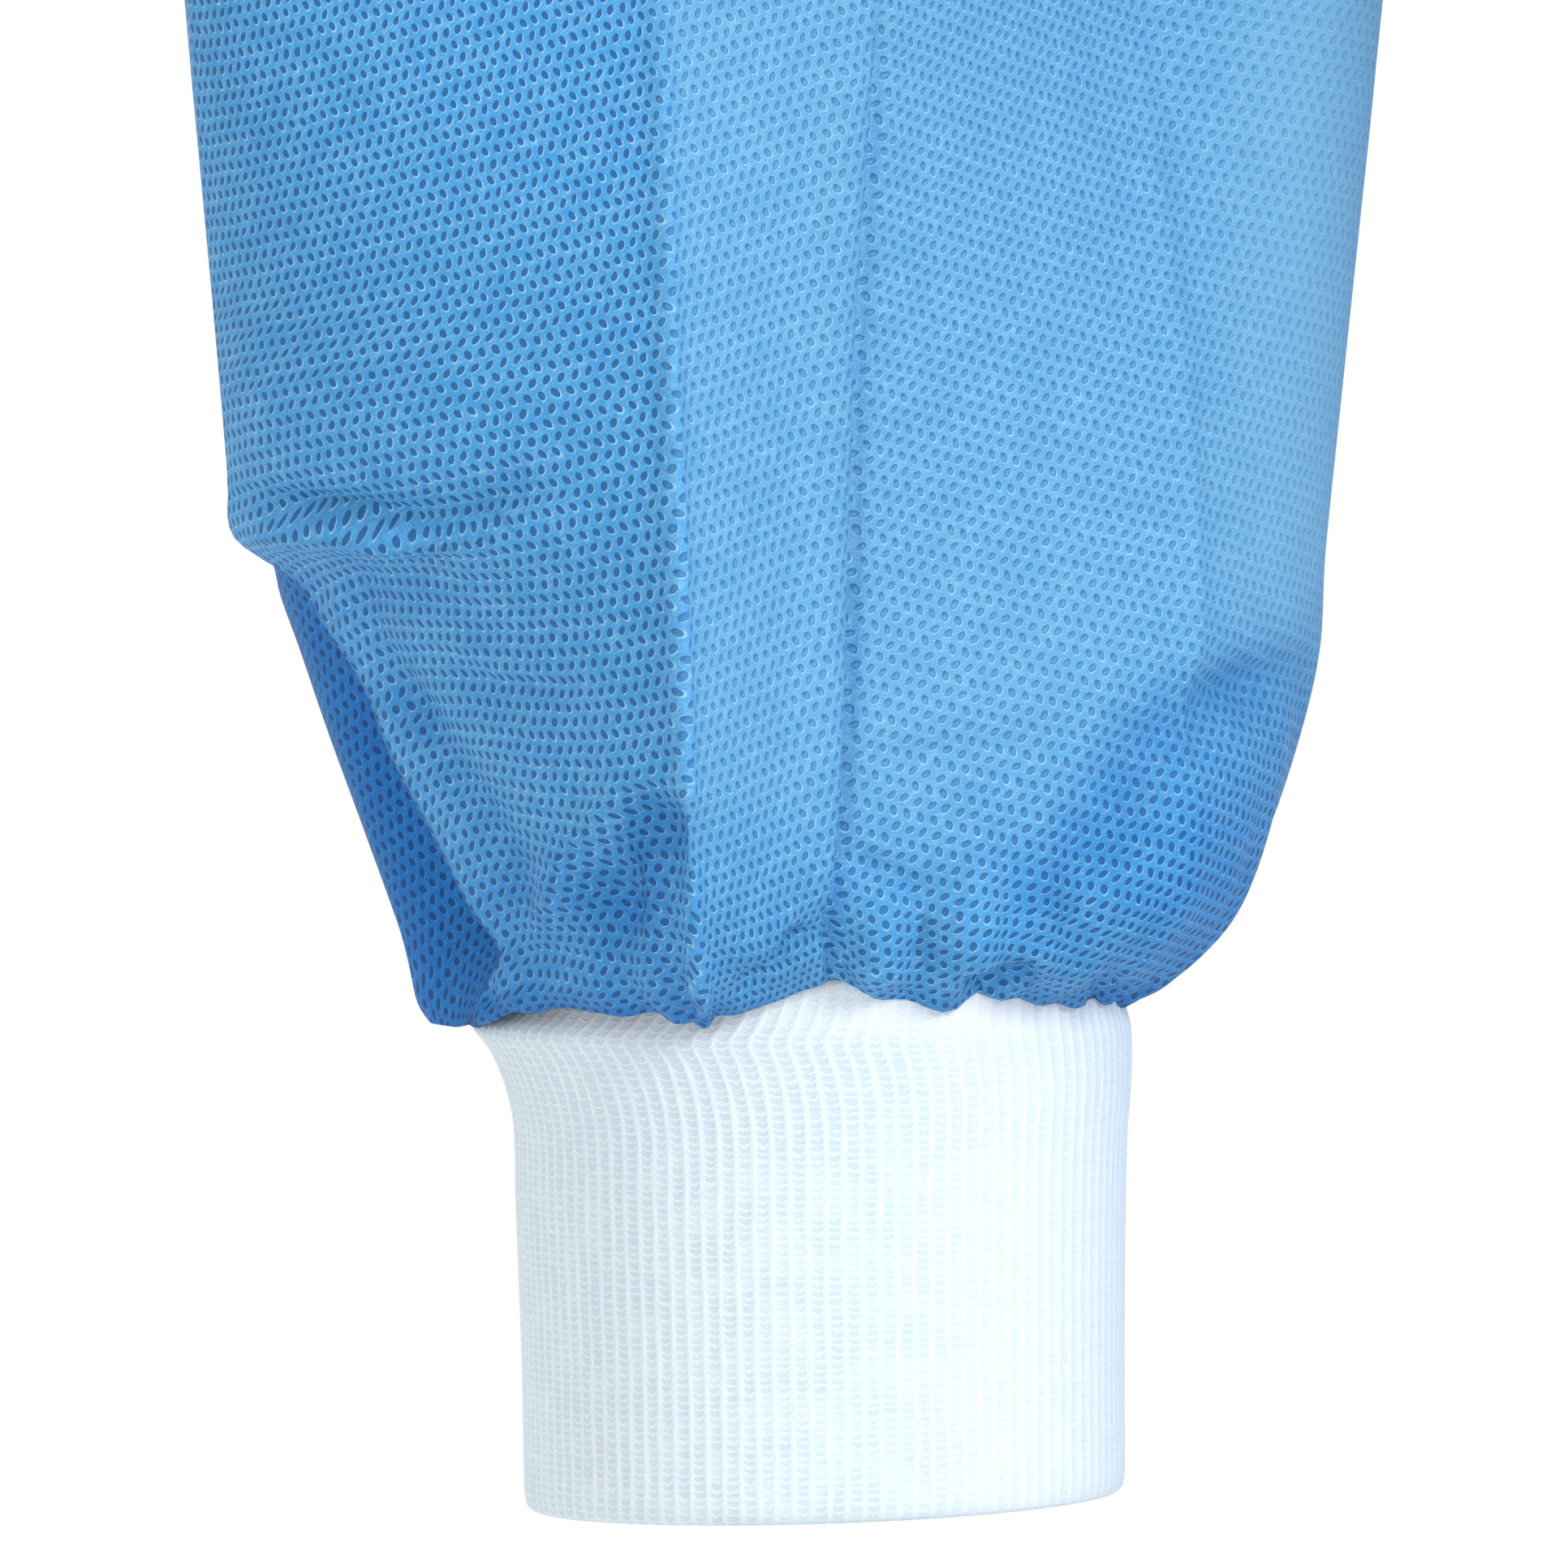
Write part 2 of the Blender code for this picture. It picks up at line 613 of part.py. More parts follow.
def cuff(name, side, material):
    outer = [cuff_ring(height, 0.0) for height in CUFF_HEIGHTS]
    inner = [cuff_ring(height, KNIT_WALL) for height in CUFF_HEIGHTS[1:]]
    low = [point + np.array((0, 0, CUFF_LIP_LIFT)) for point in cuff_ring(CUFF_HEIGHTS[0], CUFF_LIP_WALL)]
    return tube(name, to_side(outer, side), to_side([low] + inner, side), material)


def neck_path():
    """Points along the neckline from one front end, round the back, to the other."""
    front = [COLLAR_END_GAP] + [x for _, x in stations(True)[1:NECK_COLUMNS]]
    back = [x for _, x in stations(False)[:NECK_COLUMNS]]
    places = [(-x, True) for x in front] + [(-NECK_HALF_WIDTH, False)]
    places += [(-x, False) for x in reversed(back[1:])]
    places += [(x, False) for x in back] + [(NECK_HALF_WIDTH, False)] + [(x, True) for x in reversed(front)]
    return [body_point(x, neckline_z(x, is_front), is_front) for x, is_front in places]


def collar(name, material):
    """A knitted band that stands on the neckline and leans in a little."""
    path = neck_path()
    grid = []
    for rise in COLLAR_ROWS:
        row = []
        for foot in path:
            away = Vector((foot.x, foot.y, 0)).normalized()
            inward = COLLAR_INSET + COLLAR_LEAN * rise
            row.append(foot - away * inward + Vector((0, 0, COLLAR_HEIGHT * rise + COLLAR_LIFT)))
        grid.append(row)
    obj = panel(name, grid, Vector((-1, 0, 0)), material)
    obj.modifiers["wall"].thickness = KNIT_WALL
    return obj


def snap_piece(name, radius, height, taper, place, facing, material):
    """A snap's cap or stud: a low round disc with a rounded face, lying on the cloth."""
    bm = bmesh.new()
    bmesh.ops.create_cone(
        bm, cap_ends=True, segments=SNAP_SIDES, radius1=radius, radius2=radius * taper, depth=height
    )
    bmesh.ops.translate(bm, verts=bm.verts[:], vec=(0, 0, height / 2))
    edges = [edge for edge in bm.edges if all(vert.co.z > height / 2 for vert in edge.verts)]
    edge_width = height * SNAP_EDGE_SHARE
    bmesh.ops.bevel(bm, geom=edges, affect="EDGES", offset=edge_width, segments=2, profile=0.5, material=-1)
    obj = mesh_object(name, bm, material)
    turn = Vector((0, 0, 1)).rotation_difference(facing).to_matrix().to_4x4()
    obj.matrix_world = Matrix.Translation(place) @ turn
    return obj


def snaps(material):
    for number in range(SNAP_COUNT):
        z = SNAP_TOP_Z + (SNAP_BOTTOM_Z - SNAP_TOP_Z) * number / (SNAP_COUNT - 1)
        facing = front_facing(0.0, z)
        surface = body_point(0.0, z, True)
        top = surface + facing * (WALL + PLACKET_GAP + SNAP_SEAT)
        cap = SNAP_RADIUS, SNAP_CAP_HEIGHT, SNAP_CAP_TAPER
        snap_piece(f"snap_cap_{number + 1}", *cap, top, facing, material)
        under = surface - facing * (WALL + SNAP_SEAT)
        stud = SNAP_STUD_RADIUS, SNAP_STUD_HEIGHT, SNAP_STUD_TAPER
        snap_piece(f"snap_stud_{number + 1}", *stud, under, -facing, material)


def material(name, colour, roughness):
    made = bpy.data.materials.new(name)
    made.use_nodes = True
    shader = made.node_tree.nodes["Principled BSDF"]
    shader.inputs["Base Color"].default_value = colour
    shader.inputs["Roughness"].default_value = roughness
    shader.inputs["Metallic"].default_value = 0.0
    return made


def body_panels(cloth):
    panel("back", [back_row(level) for level in levels()], Vector((0, 1, 0)), cloth)
    for name, side, on_top in (("front_right", -1, False), ("front_left", 1, True)):
        grid = [front_row(level, side, on_top) for level in levels()]
        panel(name, grid, Vector((0, -1, 0)), cloth)


def clear_scene():
    for obj in list(bpy.data.objects):
        bpy.data.objects.remove(obj)


def main():
    cloth = material("blue_nonwoven", BLUE, 0.7)
    knit = material("white_knit", WHITE, 0.85)
    plastic = material("white_plastic", SNAP_WHITE, 0.35)
    body_panels(cloth)
    for name, how in SLEEVES.items():
        sleeve(name, how["side"], how["pleat"], how["turn"], cloth)
    for name, side in (("cuff_right", -1), ("cuff_left", 1)):
        cuff(name, side, knit)
    collar("collar", knit)
    snaps(plastic)


clear_scene()
JACKET = bpy.data.collections.new("lab_jacket")
bpy.context.scene.collection.children.link(JACKET)
main()
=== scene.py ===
# %% [markdown]
# # A disposable lab jacket
# The jacket is cut from a blue nonwoven, a felt of fine plastic fibres that a hot roller has welded together in a
# pattern of small ovals. Its sleeves are gathered into white knitted cuffs, and a knitted band finishes the neck.
# The solid model of the jacket is loaded first. It stays fixed, and every piece of cloth that is made below lies
# on the form of one of its solids, with the seams, creases and gathers that the plain solid leaves out.

# %% Start
import json
import math

import bmesh
import bpy
import numpy as np
from mathutils import Matrix, Vector

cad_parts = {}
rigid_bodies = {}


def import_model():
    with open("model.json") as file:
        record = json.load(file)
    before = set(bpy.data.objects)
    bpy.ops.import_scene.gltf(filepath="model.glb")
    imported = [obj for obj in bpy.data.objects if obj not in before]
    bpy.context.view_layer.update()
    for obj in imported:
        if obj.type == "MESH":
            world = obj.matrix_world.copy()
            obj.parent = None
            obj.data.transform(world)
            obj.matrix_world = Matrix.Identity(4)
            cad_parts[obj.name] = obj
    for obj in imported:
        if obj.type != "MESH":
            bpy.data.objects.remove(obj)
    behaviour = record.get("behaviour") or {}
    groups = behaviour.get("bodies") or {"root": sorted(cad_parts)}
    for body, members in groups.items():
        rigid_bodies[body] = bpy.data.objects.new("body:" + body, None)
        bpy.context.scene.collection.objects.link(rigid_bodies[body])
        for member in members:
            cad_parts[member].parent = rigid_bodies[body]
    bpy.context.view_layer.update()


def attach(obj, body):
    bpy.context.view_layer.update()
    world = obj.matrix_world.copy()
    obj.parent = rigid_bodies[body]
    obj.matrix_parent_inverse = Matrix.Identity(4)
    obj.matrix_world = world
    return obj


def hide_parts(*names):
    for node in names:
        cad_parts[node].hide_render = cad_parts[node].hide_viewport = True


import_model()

MM = 0.001

# %% [markdown]
# ## Reading sizes from tables
# A garment is described by a few measurements, taken at a few heights. One way to get a smooth surface from them
# is to place loops by hand and subdivide. Here the tables are read with a smooth curve instead, so that a piece of
# cloth can be as fine as its creases need, and the same numbers that shaped the solids also shape the cloth.

# %% Tables
def hermite(start, end, leave, arrive, t):
    """A cubic from start to end that leaves and arrives along the given tangents."""
    t2, t3 = t * t, t * t * t
    return (2 * t3 - 3 * t2 + 1) * start + (t3 - 2 * t2 + t) * leave + (3 * t2 - 2 * t3) * end + (t3 - t2) * arrive


def ease(t):
    """0 below 0, 1 above 1, and a smooth step between."""
    t = np.clip(t, 0.0, 1.0)
    return t * t * (3 - 2 * t)


def distances(points, axis=0):
    """How far each point lies along its row or column of points, from the first one."""
    steps = np.linalg.norm(np.diff(points, axis=axis), axis=-1)
    return np.insert(np.cumsum(steps, axis=axis), 0, 0.0, axis=axis)


class Sizes:
    """Rows of sizes with named columns, read between the rows. The first column is what they are looked up by."""

    def __init__(self, names, *rows):
        self.names = names.split()
        self.rows = np.array(rows, float)
        self.keys = self.rows[:, 0]
        last = len(rows) - 1
        before = np.maximum(np.arange(last + 1) - 1, 0)
        after = np.minimum(np.arange(last + 1) + 1, last)
        self.slopes = (self.rows[after] - self.rows[before]) / (self.keys[after] - self.keys[before])[:, None]

    def read(self, name, key):
        column = self.names.index(name)
        key = np.clip(key, self.keys[0], self.keys[-1])
        i = np.clip(np.searchsorted(self.keys, key) - 1, 0, len(self.keys) - 2)
        width = self.keys[i + 1] - self.keys[i]
        leave, arrive = self.slopes[i, column] * width, self.slopes[i + 1, column] * width
        return hermite(self.rows[i, column], self.rows[i + 1, column], leave, arrive, (key - self.keys[i]) / width)


# %% [markdown]
# ## The form of a sleeve's lower end
# The sleeve is a wide tube that its cuff draws in. Ten lines run down it: pressed creases, the seam, and the places
# where it is widest. Each line has a place at a few heights above the cuff's end, in millimetres: how far out it
# lies, away from the body, how far to the front, and how sharp a corner the cloth makes there. Between two lines
# the cloth spans like a bent batten, which a Hermite curve gives.

# %% The sleeve's lines
SLEEVE_AXIS_X, CUFF_END_Z = 0.338, -0.690
LINE = "height out front sharp"
SLEEVE_LINES = {
    "seam": Sizes(
        LINE, (50.4, -5.0, 31.1, 0.2), (54, -4.9, 34.6, 0.6), (62, -5.0, 36.5, 0.8), (76, -5.7, 36.0, 0.8),
        (96, -6.5, 35.0, 0.8), (116, -7.1, 37.5, 0.7), (145, -9.2, 39.5, 0.7), (160, -10.2, 39.5, 0.6),
    ),
    "ridge": Sizes(
        LINE, (50.4, 8.0, 31.0, 0.2), (54, 8.3, 37.6, 0.7), (62, 8.9, 45.0, 0.8), (76, 9.7, 50.5, 0.8),
        (96, 10.3, 52.0, 0.8), (116, 11.3, 51.5, 0.7), (145, 12.1, 50.0, 0.6), (160, 12.6, 49.5, 0.5),
    ),
    "pleat_edge": Sizes(
        LINE, (50.4, 30.8, 9.5, 0.0), (52, 31.0, 13.0, 0.2), (54, 30.0, 17.5, 0.5), (57, 28.4, 21.5, 0.8),
        (62, 31.7, 22.0, 0.8), (69, 35.4, 20.5, 0.8), (76, 39.2, 18.5, 0.8), (84, 42.6, 15.5, 0.8),
        (91, 47.6, 14.0, 0.7), (95, 51.3, 14.5, 0.5), (98.3, 54.9, 17.0, 0.3), (106, 55.6, 21.0, 0.2),
        (116, 56.3, 25.0, 0.2), (145, 58.3, 39.0, 0.3), (160, 59.2, 40.0, 0.3),
    ),
    "recess": Sizes(
        LINE, (50.4, 31.8, 3.5, 0.0), (54, 29.0, 4.5, 0.1), (59, 26.0, 4.5, 0.3), (66, 27.5, 3.5, 0.4),
        (76, 32.0, 3.0, 0.4), (86, 40.0, 3.0, 0.3), (91, 44.5, 4.0, 0.2), (95, 50.4, 7.0, 0.1),
        (98.3, 55.2, 10.0, 0.0), (106, 55.4, 14.0, 0.0), (116, 56.3, 17.0, 0.0), (145, 58.8, 32.0, 0.0),
        (160, 59.6, 34.0, 0.0),
    ),
    "outer": Sizes(
        LINE, (50.4, 35.6, -5.0, 0.0), (52, 36.9, -6.0, 0.1), (54, 37.6, -7.0, 0.2), (58, 38.8, -8.5, 0.2),
        (66, 41.4, -9.0, 0.2), (76, 44.9, -8.5, 0.2), (86, 48.1, -7.0, 0.1), (92, 50.3, -4.0, 0.1),
        (96, 52.2, -1.0, 0.0), (98.6, 54.6, 0.0, 0.0), (106, 55.2, 3.0, 0.0), (116, 56.0, 6.0, 0.0),
        (145, 58.7, 18.0, 0.0), (160, 59.6, 22.0, 0.0),
    ),
    "back_outer": Sizes(
        LINE, (50.4, 17.5, -23.0, 0.0), (54, 26.0, -30.5, 0.0), (66, 32.5, -37.0, 0.0), (96, 39.0, -39.0, 0.0),
        (145, 45.0, -39.0, 0.0), (160, 46.0, -39.0, 0.0),
    ),
    "back": Sizes(
        LINE, (50.4, -4.0, -31.7, 0.0), (54, -4.5, -40.0, 0.1), (66, -5.0, -49.5, 0.3), (96, -4.0, -54.5, 0.4),
        (145, -1.0, -60.0, 0.5), (160, 0.0, -60.5, 0.5),
    ),
    "back_inner": Sizes(
        LINE, (50.4, -26.0, -22.5, 0.0), (54, -31.0, -27.5, 0.0), (66, -39.0, -34.5, 0.0), (96, -41.0, -38.0, 0.0),
        (145, -43.5, -45.5, 0.0), (160, -44.0, -46.0, 0.0),
    ),
    "inner": Sizes(
        LINE, (50.4, -34.6, -1.5, 0.0), (52.5, -37.6, -1.0, 0.0), (55, -41.2, -1.0, 0.0), (59, -44.9, -1.0, 0.0),
        (66, -48.6, -1.0, 0.0), (76, -52.0, -1.0, 0.0), (86, -54.3, -1.0, 0.1), (96, -54.6, 0.0, 0.1),
        (116, -56.7, -4.0, 0.1), (145, -60.2, -12.0, 0.1), (160, -61.2, -14.0, 0.1),
    ),
    "second_crease": Sizes(
        LINE, (50.4, -29.5, 18.5, 0.0), (54, -33.0, 25.0, 0.0), (62, -39.0, 28.0, 0.1), (76, -42.0, 26.0, 0.3),
        (96, -41.2, 21.4, 0.5), (116, -39.9, 17.5, 0.5), (145, -35.8, 15.0, 0.5), (160, -34.5, 14.0, 0.4),
    ),
}

# Each line's place round the arm in degrees, from the outer side to the front, and the columns of cloth after it
LINE_PLACES = {
    "seam": (99, 22), "ridge": (80, 34), "pleat_edge": (12, 7), "recess": (2, 9), "outer": (-8, 22),
    "back_outer": (-50, 20), "back": (-95, 18), "back_inner": (-140, 20), "inner": (-180, 20),
    "second_crease": (-225, 30),
}
CROWDING = 0.45


def sleeve_columns():
    """For each column of cloth, from the seam round to the seam again: its line, its share to the next, its place."""
    names = list(LINE_PLACES)
    line, share, place = [], [], []
    for i, name in enumerate(names):
        here, count = LINE_PLACES[name]
        there = LINE_PLACES[names[(i + 1) % len(names)]][0]
        there = there - 360 if there > here else there
        even = np.arange(count) / count
        crowded = even - CROWDING * np.sin(2 * math.pi * even) / (2 * math.pi)
        line += [i] * count
        share += list(crowded)
        place += list(here + (there - here) * crowded)
    return np.array(line + [0]), np.array(share + [0.0]), np.array(place + [LINE_PLACES["seam"][0] - 360])


def unit(vectors):
    return vectors / np.maximum(np.linalg.norm(vectors, axis=-1, keepdims=True), 1e-9)


def lower_ring(height, pleat, columns):
    """The sleeve's outline at a height in millimetres above the cuff's end, on the +X side, in metres."""
    line, share, _ = columns
    corners, sharp = [], []
    for name, sizes in SLEEVE_LINES.items():
        corners.append((sizes.read("out", height), sizes.read("front", height)))
        sharp.append(sizes.read("sharp", height))
    corners, sharp = np.array(corners), np.clip(sharp, 0, 1)[:, None]
    edge, recess, outer = (list(SLEEVE_LINES).index(name) for name in ("pleat_edge", "recess", "outer"))
    corners[recess] = pleat * corners[recess] + (1 - pleat) * (corners[edge] + corners[outer]) / 2
    onward = np.roll(corners, -1, axis=0) - corners
    into = np.roll(onward, 1, axis=0)
    before, ahead = (np.linalg.norm(sides, axis=1)[:, None] for sides in (into, onward))
    through = unit(unit(into) * ahead + unit(onward) * before)
    leaves = unit(through * (1 - sharp) + unit(onward) * sharp)
    arrives = unit(through * (1 - sharp) + unit(into) * sharp)
    after = (line + 1) % len(corners)
    length = np.linalg.norm(corners[after] - corners[line], axis=1)[:, None]
    flat = hermite(corners[line], corners[after], leaves[line] * length, arrives[after] * length, share[:, None])
    height = np.broadcast_to(height, share.shape)
    return np.stack((SLEEVE_AXIS_X + flat[:, 0] * MM, -flat[:, 1] * MM, CUFF_END_Z + height * MM), axis=1)


columns = sleeve_columns()
print("columns of cloth round the sleeve:", len(columns[0]) - 1)


def on_line(*names):
    """Which columns of cloth start from one of these lines."""
    return np.isin(columns[0], [list(SLEEVE_LINES).index(name) for name in names])


def sleeve_places(points):
    """How far each point lies out from the sleeve's axis, to the front and above the cuff's end, in millimetres."""
    return (points[..., 0] - SLEEVE_AXIS_X) / MM, -points[..., 1] / MM, (points[..., 2] - CUFF_END_Z) / MM


# %% [markdown]
# ## The jacket's body and the upper sleeve
# From above, the body is a rounded rectangle whose depth shrinks towards the shoulder line. The armhole is a curve
# on that surface, and the sleeve starts on the same curve. The rest of the arm is a row of ovals, each through a
# point under the arm and a point over it.

# %% The body's surface
HEM_Z, UNDERARM_Z, SHOULDER_DROP = -0.760, -0.270, 0.055
NECK_HALF_WIDTH, SHOULDER_HALF_WIDTH = 0.078, 0.225
NECK_DEPTH = {"front": 0.088, "back": 0.040}
SHOULDER_ROUNDING = {"front": 0.120, "back": 0.085}
SQUARENESS, ARMHOLE_HOLLOW = 2.4, 0.13
ARMHOLE_MIDDLE_Z = (UNDERARM_Z - SHOULDER_DROP) / 2
SHOULDER_GAP, SEAM_GAP = 0.8 * MM, 0.3 * MM
BODY = Sizes(
    "z half_width front back", (HEM_Z, 0.238, 0.138, 0.134), (-0.600, 0.236, 0.134, 0.131),
    (-0.430, 0.232, 0.130, 0.120), (UNDERARM_Z, 0.235, 0.138, 0.124), (-0.160, 0.235, 0.122, 0.122),
    (-0.085, 0.235, 0.094, 0.104), (0.0, 0.235, 0.070, 0.072),
)
ARM = Sizes(
    "ring under_x under_z over_x over_z depth", (1, 0.2395, -0.276, 0.258, -0.070, 0.077),
    (2, 0.2425, -0.287, 0.293, -0.098, 0.080), (3, 0.2460, -0.304, 0.328, -0.145, 0.081),
    (4, 0.2500, -0.330, 0.356, -0.208, 0.080), (5, 0.2545, -0.368, 0.376, -0.285, 0.077),
    (6, 0.2610, -0.422, 0.391, -0.370, 0.072), (7, 0.2690, -0.477, 0.3985, -0.448, 0.067),
)


def shoulder_top(x):
    past_neck = np.maximum(np.abs(x) - NECK_HALF_WIDTH, 0.0)
    return -SHOULDER_DROP * past_neck / (SHOULDER_HALF_WIDTH - NECK_HALF_WIDTH)


def drape(angle, z):
    """How far the hanging cloth stands out at an angle round the body, in metres."""
    depth = 0.0055 * ease((-0.300 - z) / (-0.300 - HEM_Z))
    wave = np.cos(9 * angle + 0.9 * np.sin(2 * angle)) + 0.4 * np.sin(5 * angle + 0.7)
    return depth * wave * np.cos(angle) ** 2


def depth_share(x, z):
    reach = np.minimum(np.abs(x) / BODY.read("half_width", z), 1.0)
    return reach, (1 - reach**SQUARENESS) ** (1 / SQUARENESS)


def body_point(x, z, side):
    """Points of the body's outer face at x and z, on the side named front or back."""
    half_width, depth = BODY.read("half_width", z), BODY.read(side, z)
    reach, share = depth_share(x, z)
    below = np.clip((shoulder_top(x) - z) / SHOULDER_ROUNDING[side], 0.0, 1.0)
    facing = -1 if side == "front" else 1
    gap = np.where(z > ARMHOLE_MIDDLE_Z, SHOULDER_GAP, SEAM_GAP)
    y = facing * np.maximum(depth * share * np.sqrt(1 - (1 - below) ** 2), gap / 2)
    sideways = np.copysign(reach ** (SQUARENESS - 1) / half_width, x)
    out = unit(np.stack((sideways, facing * share ** (SQUARENESS - 1) / depth), -1))
    stand = drape(np.arctan2(x / half_width, -y / depth), z)
    return np.stack((x + out[..., 0] * stand, y + out[..., 1] * stand, z), -1)


def armhole_xz(share):
    """The armhole's edge on the +X side, from the underarm at 0 to the shoulder point at 1."""
    z = ARMHOLE_MIDDLE_Z + (SHOULDER_DROP + ARMHOLE_MIDDLE_Z) * np.cos(math.pi * share)
    widest = BODY.read("half_width", UNDERARM_Z)
    straight = widest + (SHOULDER_HALF_WIDTH - widest) * share
    return straight * (1 - ARMHOLE_HOLLOW * np.sin(math.pi * share)), z


def armhole_ring(degrees, out):
    """The armhole's edge, at places round the arm in degrees, moved off the body by out."""
    turned = np.mod(degrees, 360)
    share = np.where(turned <= 180, 1 - turned / 180, turned / 180 - 1)
    x, z = armhole_xz(share)
    ring = np.where((turned <= 180)[:, None], body_point(x, z, "front"), body_point(x, z, "back"))
    return ring + np.array((out, 0, 0))


def arm_ring(number, degrees):
    """An oval of the upper sleeve on the +X side, at places round the arm in degrees."""
    under = np.array((ARM.read("under_x", number), 0, ARM.read("under_z", number)))
    over = np.array((ARM.read("over_x", number), 0, ARM.read("over_z", number)))
    angle = np.radians(degrees)[:, None]
    depth = np.array((0, -ARM.read("depth", number), 0))
    return (under + over) / 2 + (over - under) / 2 * np.cos(angle) + depth * np.sin(angle)


# %% [markdown]
# ## A sleeve as one sheet of rows and columns
# A real sleeve is cut flat, joined along one seam, sewn into the armhole and gathered onto the cuff. The seam runs
# from under the arm to the front of the wrist. So the sheet has its first and last column on the seam, and its rows
# turn a little as they climb, to bring the seam under the arm. The last two rows are the seam's allowance, which
# is turned in behind the body's cloth.

# %% The sleeve's rows
EDGE_HEIGHT, GATHERS_TOP, CREASES_TOP, TABLE_TOP = 50.4, 54, 100, 145.0
SEAM_TURN = 81.0
ARMHOLE_OUT, ARMHOLE_STEPS = 0.9 * MM, (0.3, 0.6, 0.85, 1.0)

# The allowance's rows: how far each lies in from the armhole's edge and behind the body's cloth, in millimetres
ALLOWANCE = ((0.9, 0.6), (1.4, 5.0))


def seam_turn(ring):
    """How far the seam has turned towards the underarm at a ring of the upper sleeve, in degrees."""
    return SEAM_TURN * ease((7.5 - ring) / 6.5)


def sleeve_rows(pleat, fine, coarse):
    """Rows of points from the gathered edge up to the armhole, on the +X side. Fine and coarse are row steps in mm."""
    place = columns[2]
    heights = np.concatenate((
        np.arange(EDGE_HEIGHT, GATHERS_TOP, fine / 2), np.arange(GATHERS_TOP, CREASES_TOP, fine),
        np.arange(CREASES_TOP, TABLE_TOP, fine * 1.2),
    ))
    rows = [lower_ring(height, pleat, columns) for height in heights]
    low, lower = (lower_ring(height, pleat, columns) for height in (TABLE_TOP, TABLE_TOP - 5))
    high, higher = (arm_ring(ring, place + seam_turn(ring)) for ring in (7, 6.8))
    span = np.linalg.norm(high.mean(0) - low.mean(0))
    leave = (low - lower) / np.linalg.norm(low.mean(0) - lower.mean(0)) * span
    arrive = (higher - high) / np.linalg.norm(higher.mean(0) - high.mean(0)) * span
    count = int(span / (coarse * MM))
    rows += [hermite(low, high, leave, arrive, i / count) for i in range(count)]
    rows += [arm_ring(ring, place + seam_turn(ring)) for ring in np.linspace(7, 1, int(330 / coarse))]
    first, edge = rows[-1], armhole_ring(place + seam_turn(0.9), ARMHOLE_OUT)
    rows += [first + (edge - first) * share for share in ARMHOLE_STEPS]
    inward = unit((edge.mean(axis=0) - edge) * np.array((0, 1, 1)))
    rows += [edge + inward * depth * MM - np.array((tuck, 0, 0)) * MM for depth, tuck in ALLOWANCE]
    return np.array(rows)


# %% [markdown]
# ## Cloth from a grid
# A grid is a sheet that already has rows and columns. Each vertex only has to be carried to its place. The flat
# cut of the cloth is kept as a UV map in millimetres, so that the pattern in the cloth follows the fabric, not
# the room. The two edges of a tube are then merged into one seam, and a Solidify modifier gives the wall.

# %% Cloth pieces
MERGE_WITHIN = 0.00002
cuts = {}


def placed(name, data):
    """An object for this data, put into the scene."""
    obj = bpy.data.objects.new(name, data)
    bpy.context.scene.collection.objects.link(obj)
    return obj


def cut_size(flat):
    """The width, length and area of a flat pattern, in metres, from rows and columns in millimetres."""
    flat = flat * MM
    one, other = flat[1:, 1:] - flat[:-1, :-1], flat[1:, :-1] - flat[:-1, 1:]
    area = np.abs(one[..., 0] * other[..., 1] - one[..., 1] * other[..., 0]).sum() / 2
    size = flat.reshape(-1, 2).max(axis=0) - flat.reshape(-1, 2).min(axis=0)
    return float(size[0]), float(size[1]), float(area)


def cloth_piece(name, points, flat, centre, wall, material, shares=None):
    """A sheet of cloth through rows and columns of points, with its flat pattern in millimetres as a UV map.

    Its name is the name of the solid that it stands for, and what it is made of. Shares are named amounts from 0
    to 1 at each point, kept for the material to read. A piece with no wall of its own is a closed skin."""
    rows, across = points.shape[:2]
    bm = bmesh.new()
    bmesh.ops.create_grid(bm, x_segments=across - 1, y_segments=rows - 1, size=0.5)
    mesh = bpy.data.meshes.new(name)
    bm.to_mesh(mesh)
    mesh.vertices.foreach_set("co", points.reshape(-1).astype(np.float32))
    corner_vertex = np.empty(len(mesh.loops), np.int32)
    mesh.loops.foreach_get("vertex_index", corner_vertex)
    layer = mesh.uv_layers.new(name="cloth_mm")
    layer.data.foreach_set("uv", flat.reshape(-1, 2)[corner_vertex].reshape(-1).astype(np.float32))
    for share_name, amounts in (shares or {}).items():
        attribute = mesh.attributes.new(share_name, "FLOAT", "POINT")
        attribute.data.foreach_set("value", amounts.reshape(-1).astype(np.float32))
    bm.clear()
    bm.from_mesh(mesh)
    bmesh.ops.remove_doubles(bm, verts=[v for v in bm.verts if v.is_boundary], dist=MERGE_WITHIN)
    if not wall:
        bmesh.ops.holes_fill(bm, edges=[edge for edge in bm.edges if edge.is_boundary], sides=0)
    bm.normal_update()
    faces = bm.faces[:]
    some = faces[:: len(faces) // 400]
    if sum(face.normal.dot(face.calc_center_median() - Vector(centre)) for face in some) < 0:
        bmesh.ops.reverse_faces(bm, faces=faces)
    bm.to_mesh(mesh)
    bm.free()
    mesh.shade_smooth()
    mesh.materials.append(material)
    obj = placed(name, mesh)
    if wall:
        solidify = obj.modifiers.new("wall", "SOLIDIFY")
        solidify.thickness = wall
        solidify.offset = -1.0
    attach(obj, "root")
    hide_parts(name.rsplit("_", 1)[0])
    cuts[name] = cut_size(flat)
    area = sum(face.area for face in mesh.polygons)
    print(name, "rows", rows, "columns", across, "cloth area in square metres:", round(area, 4))
    return obj


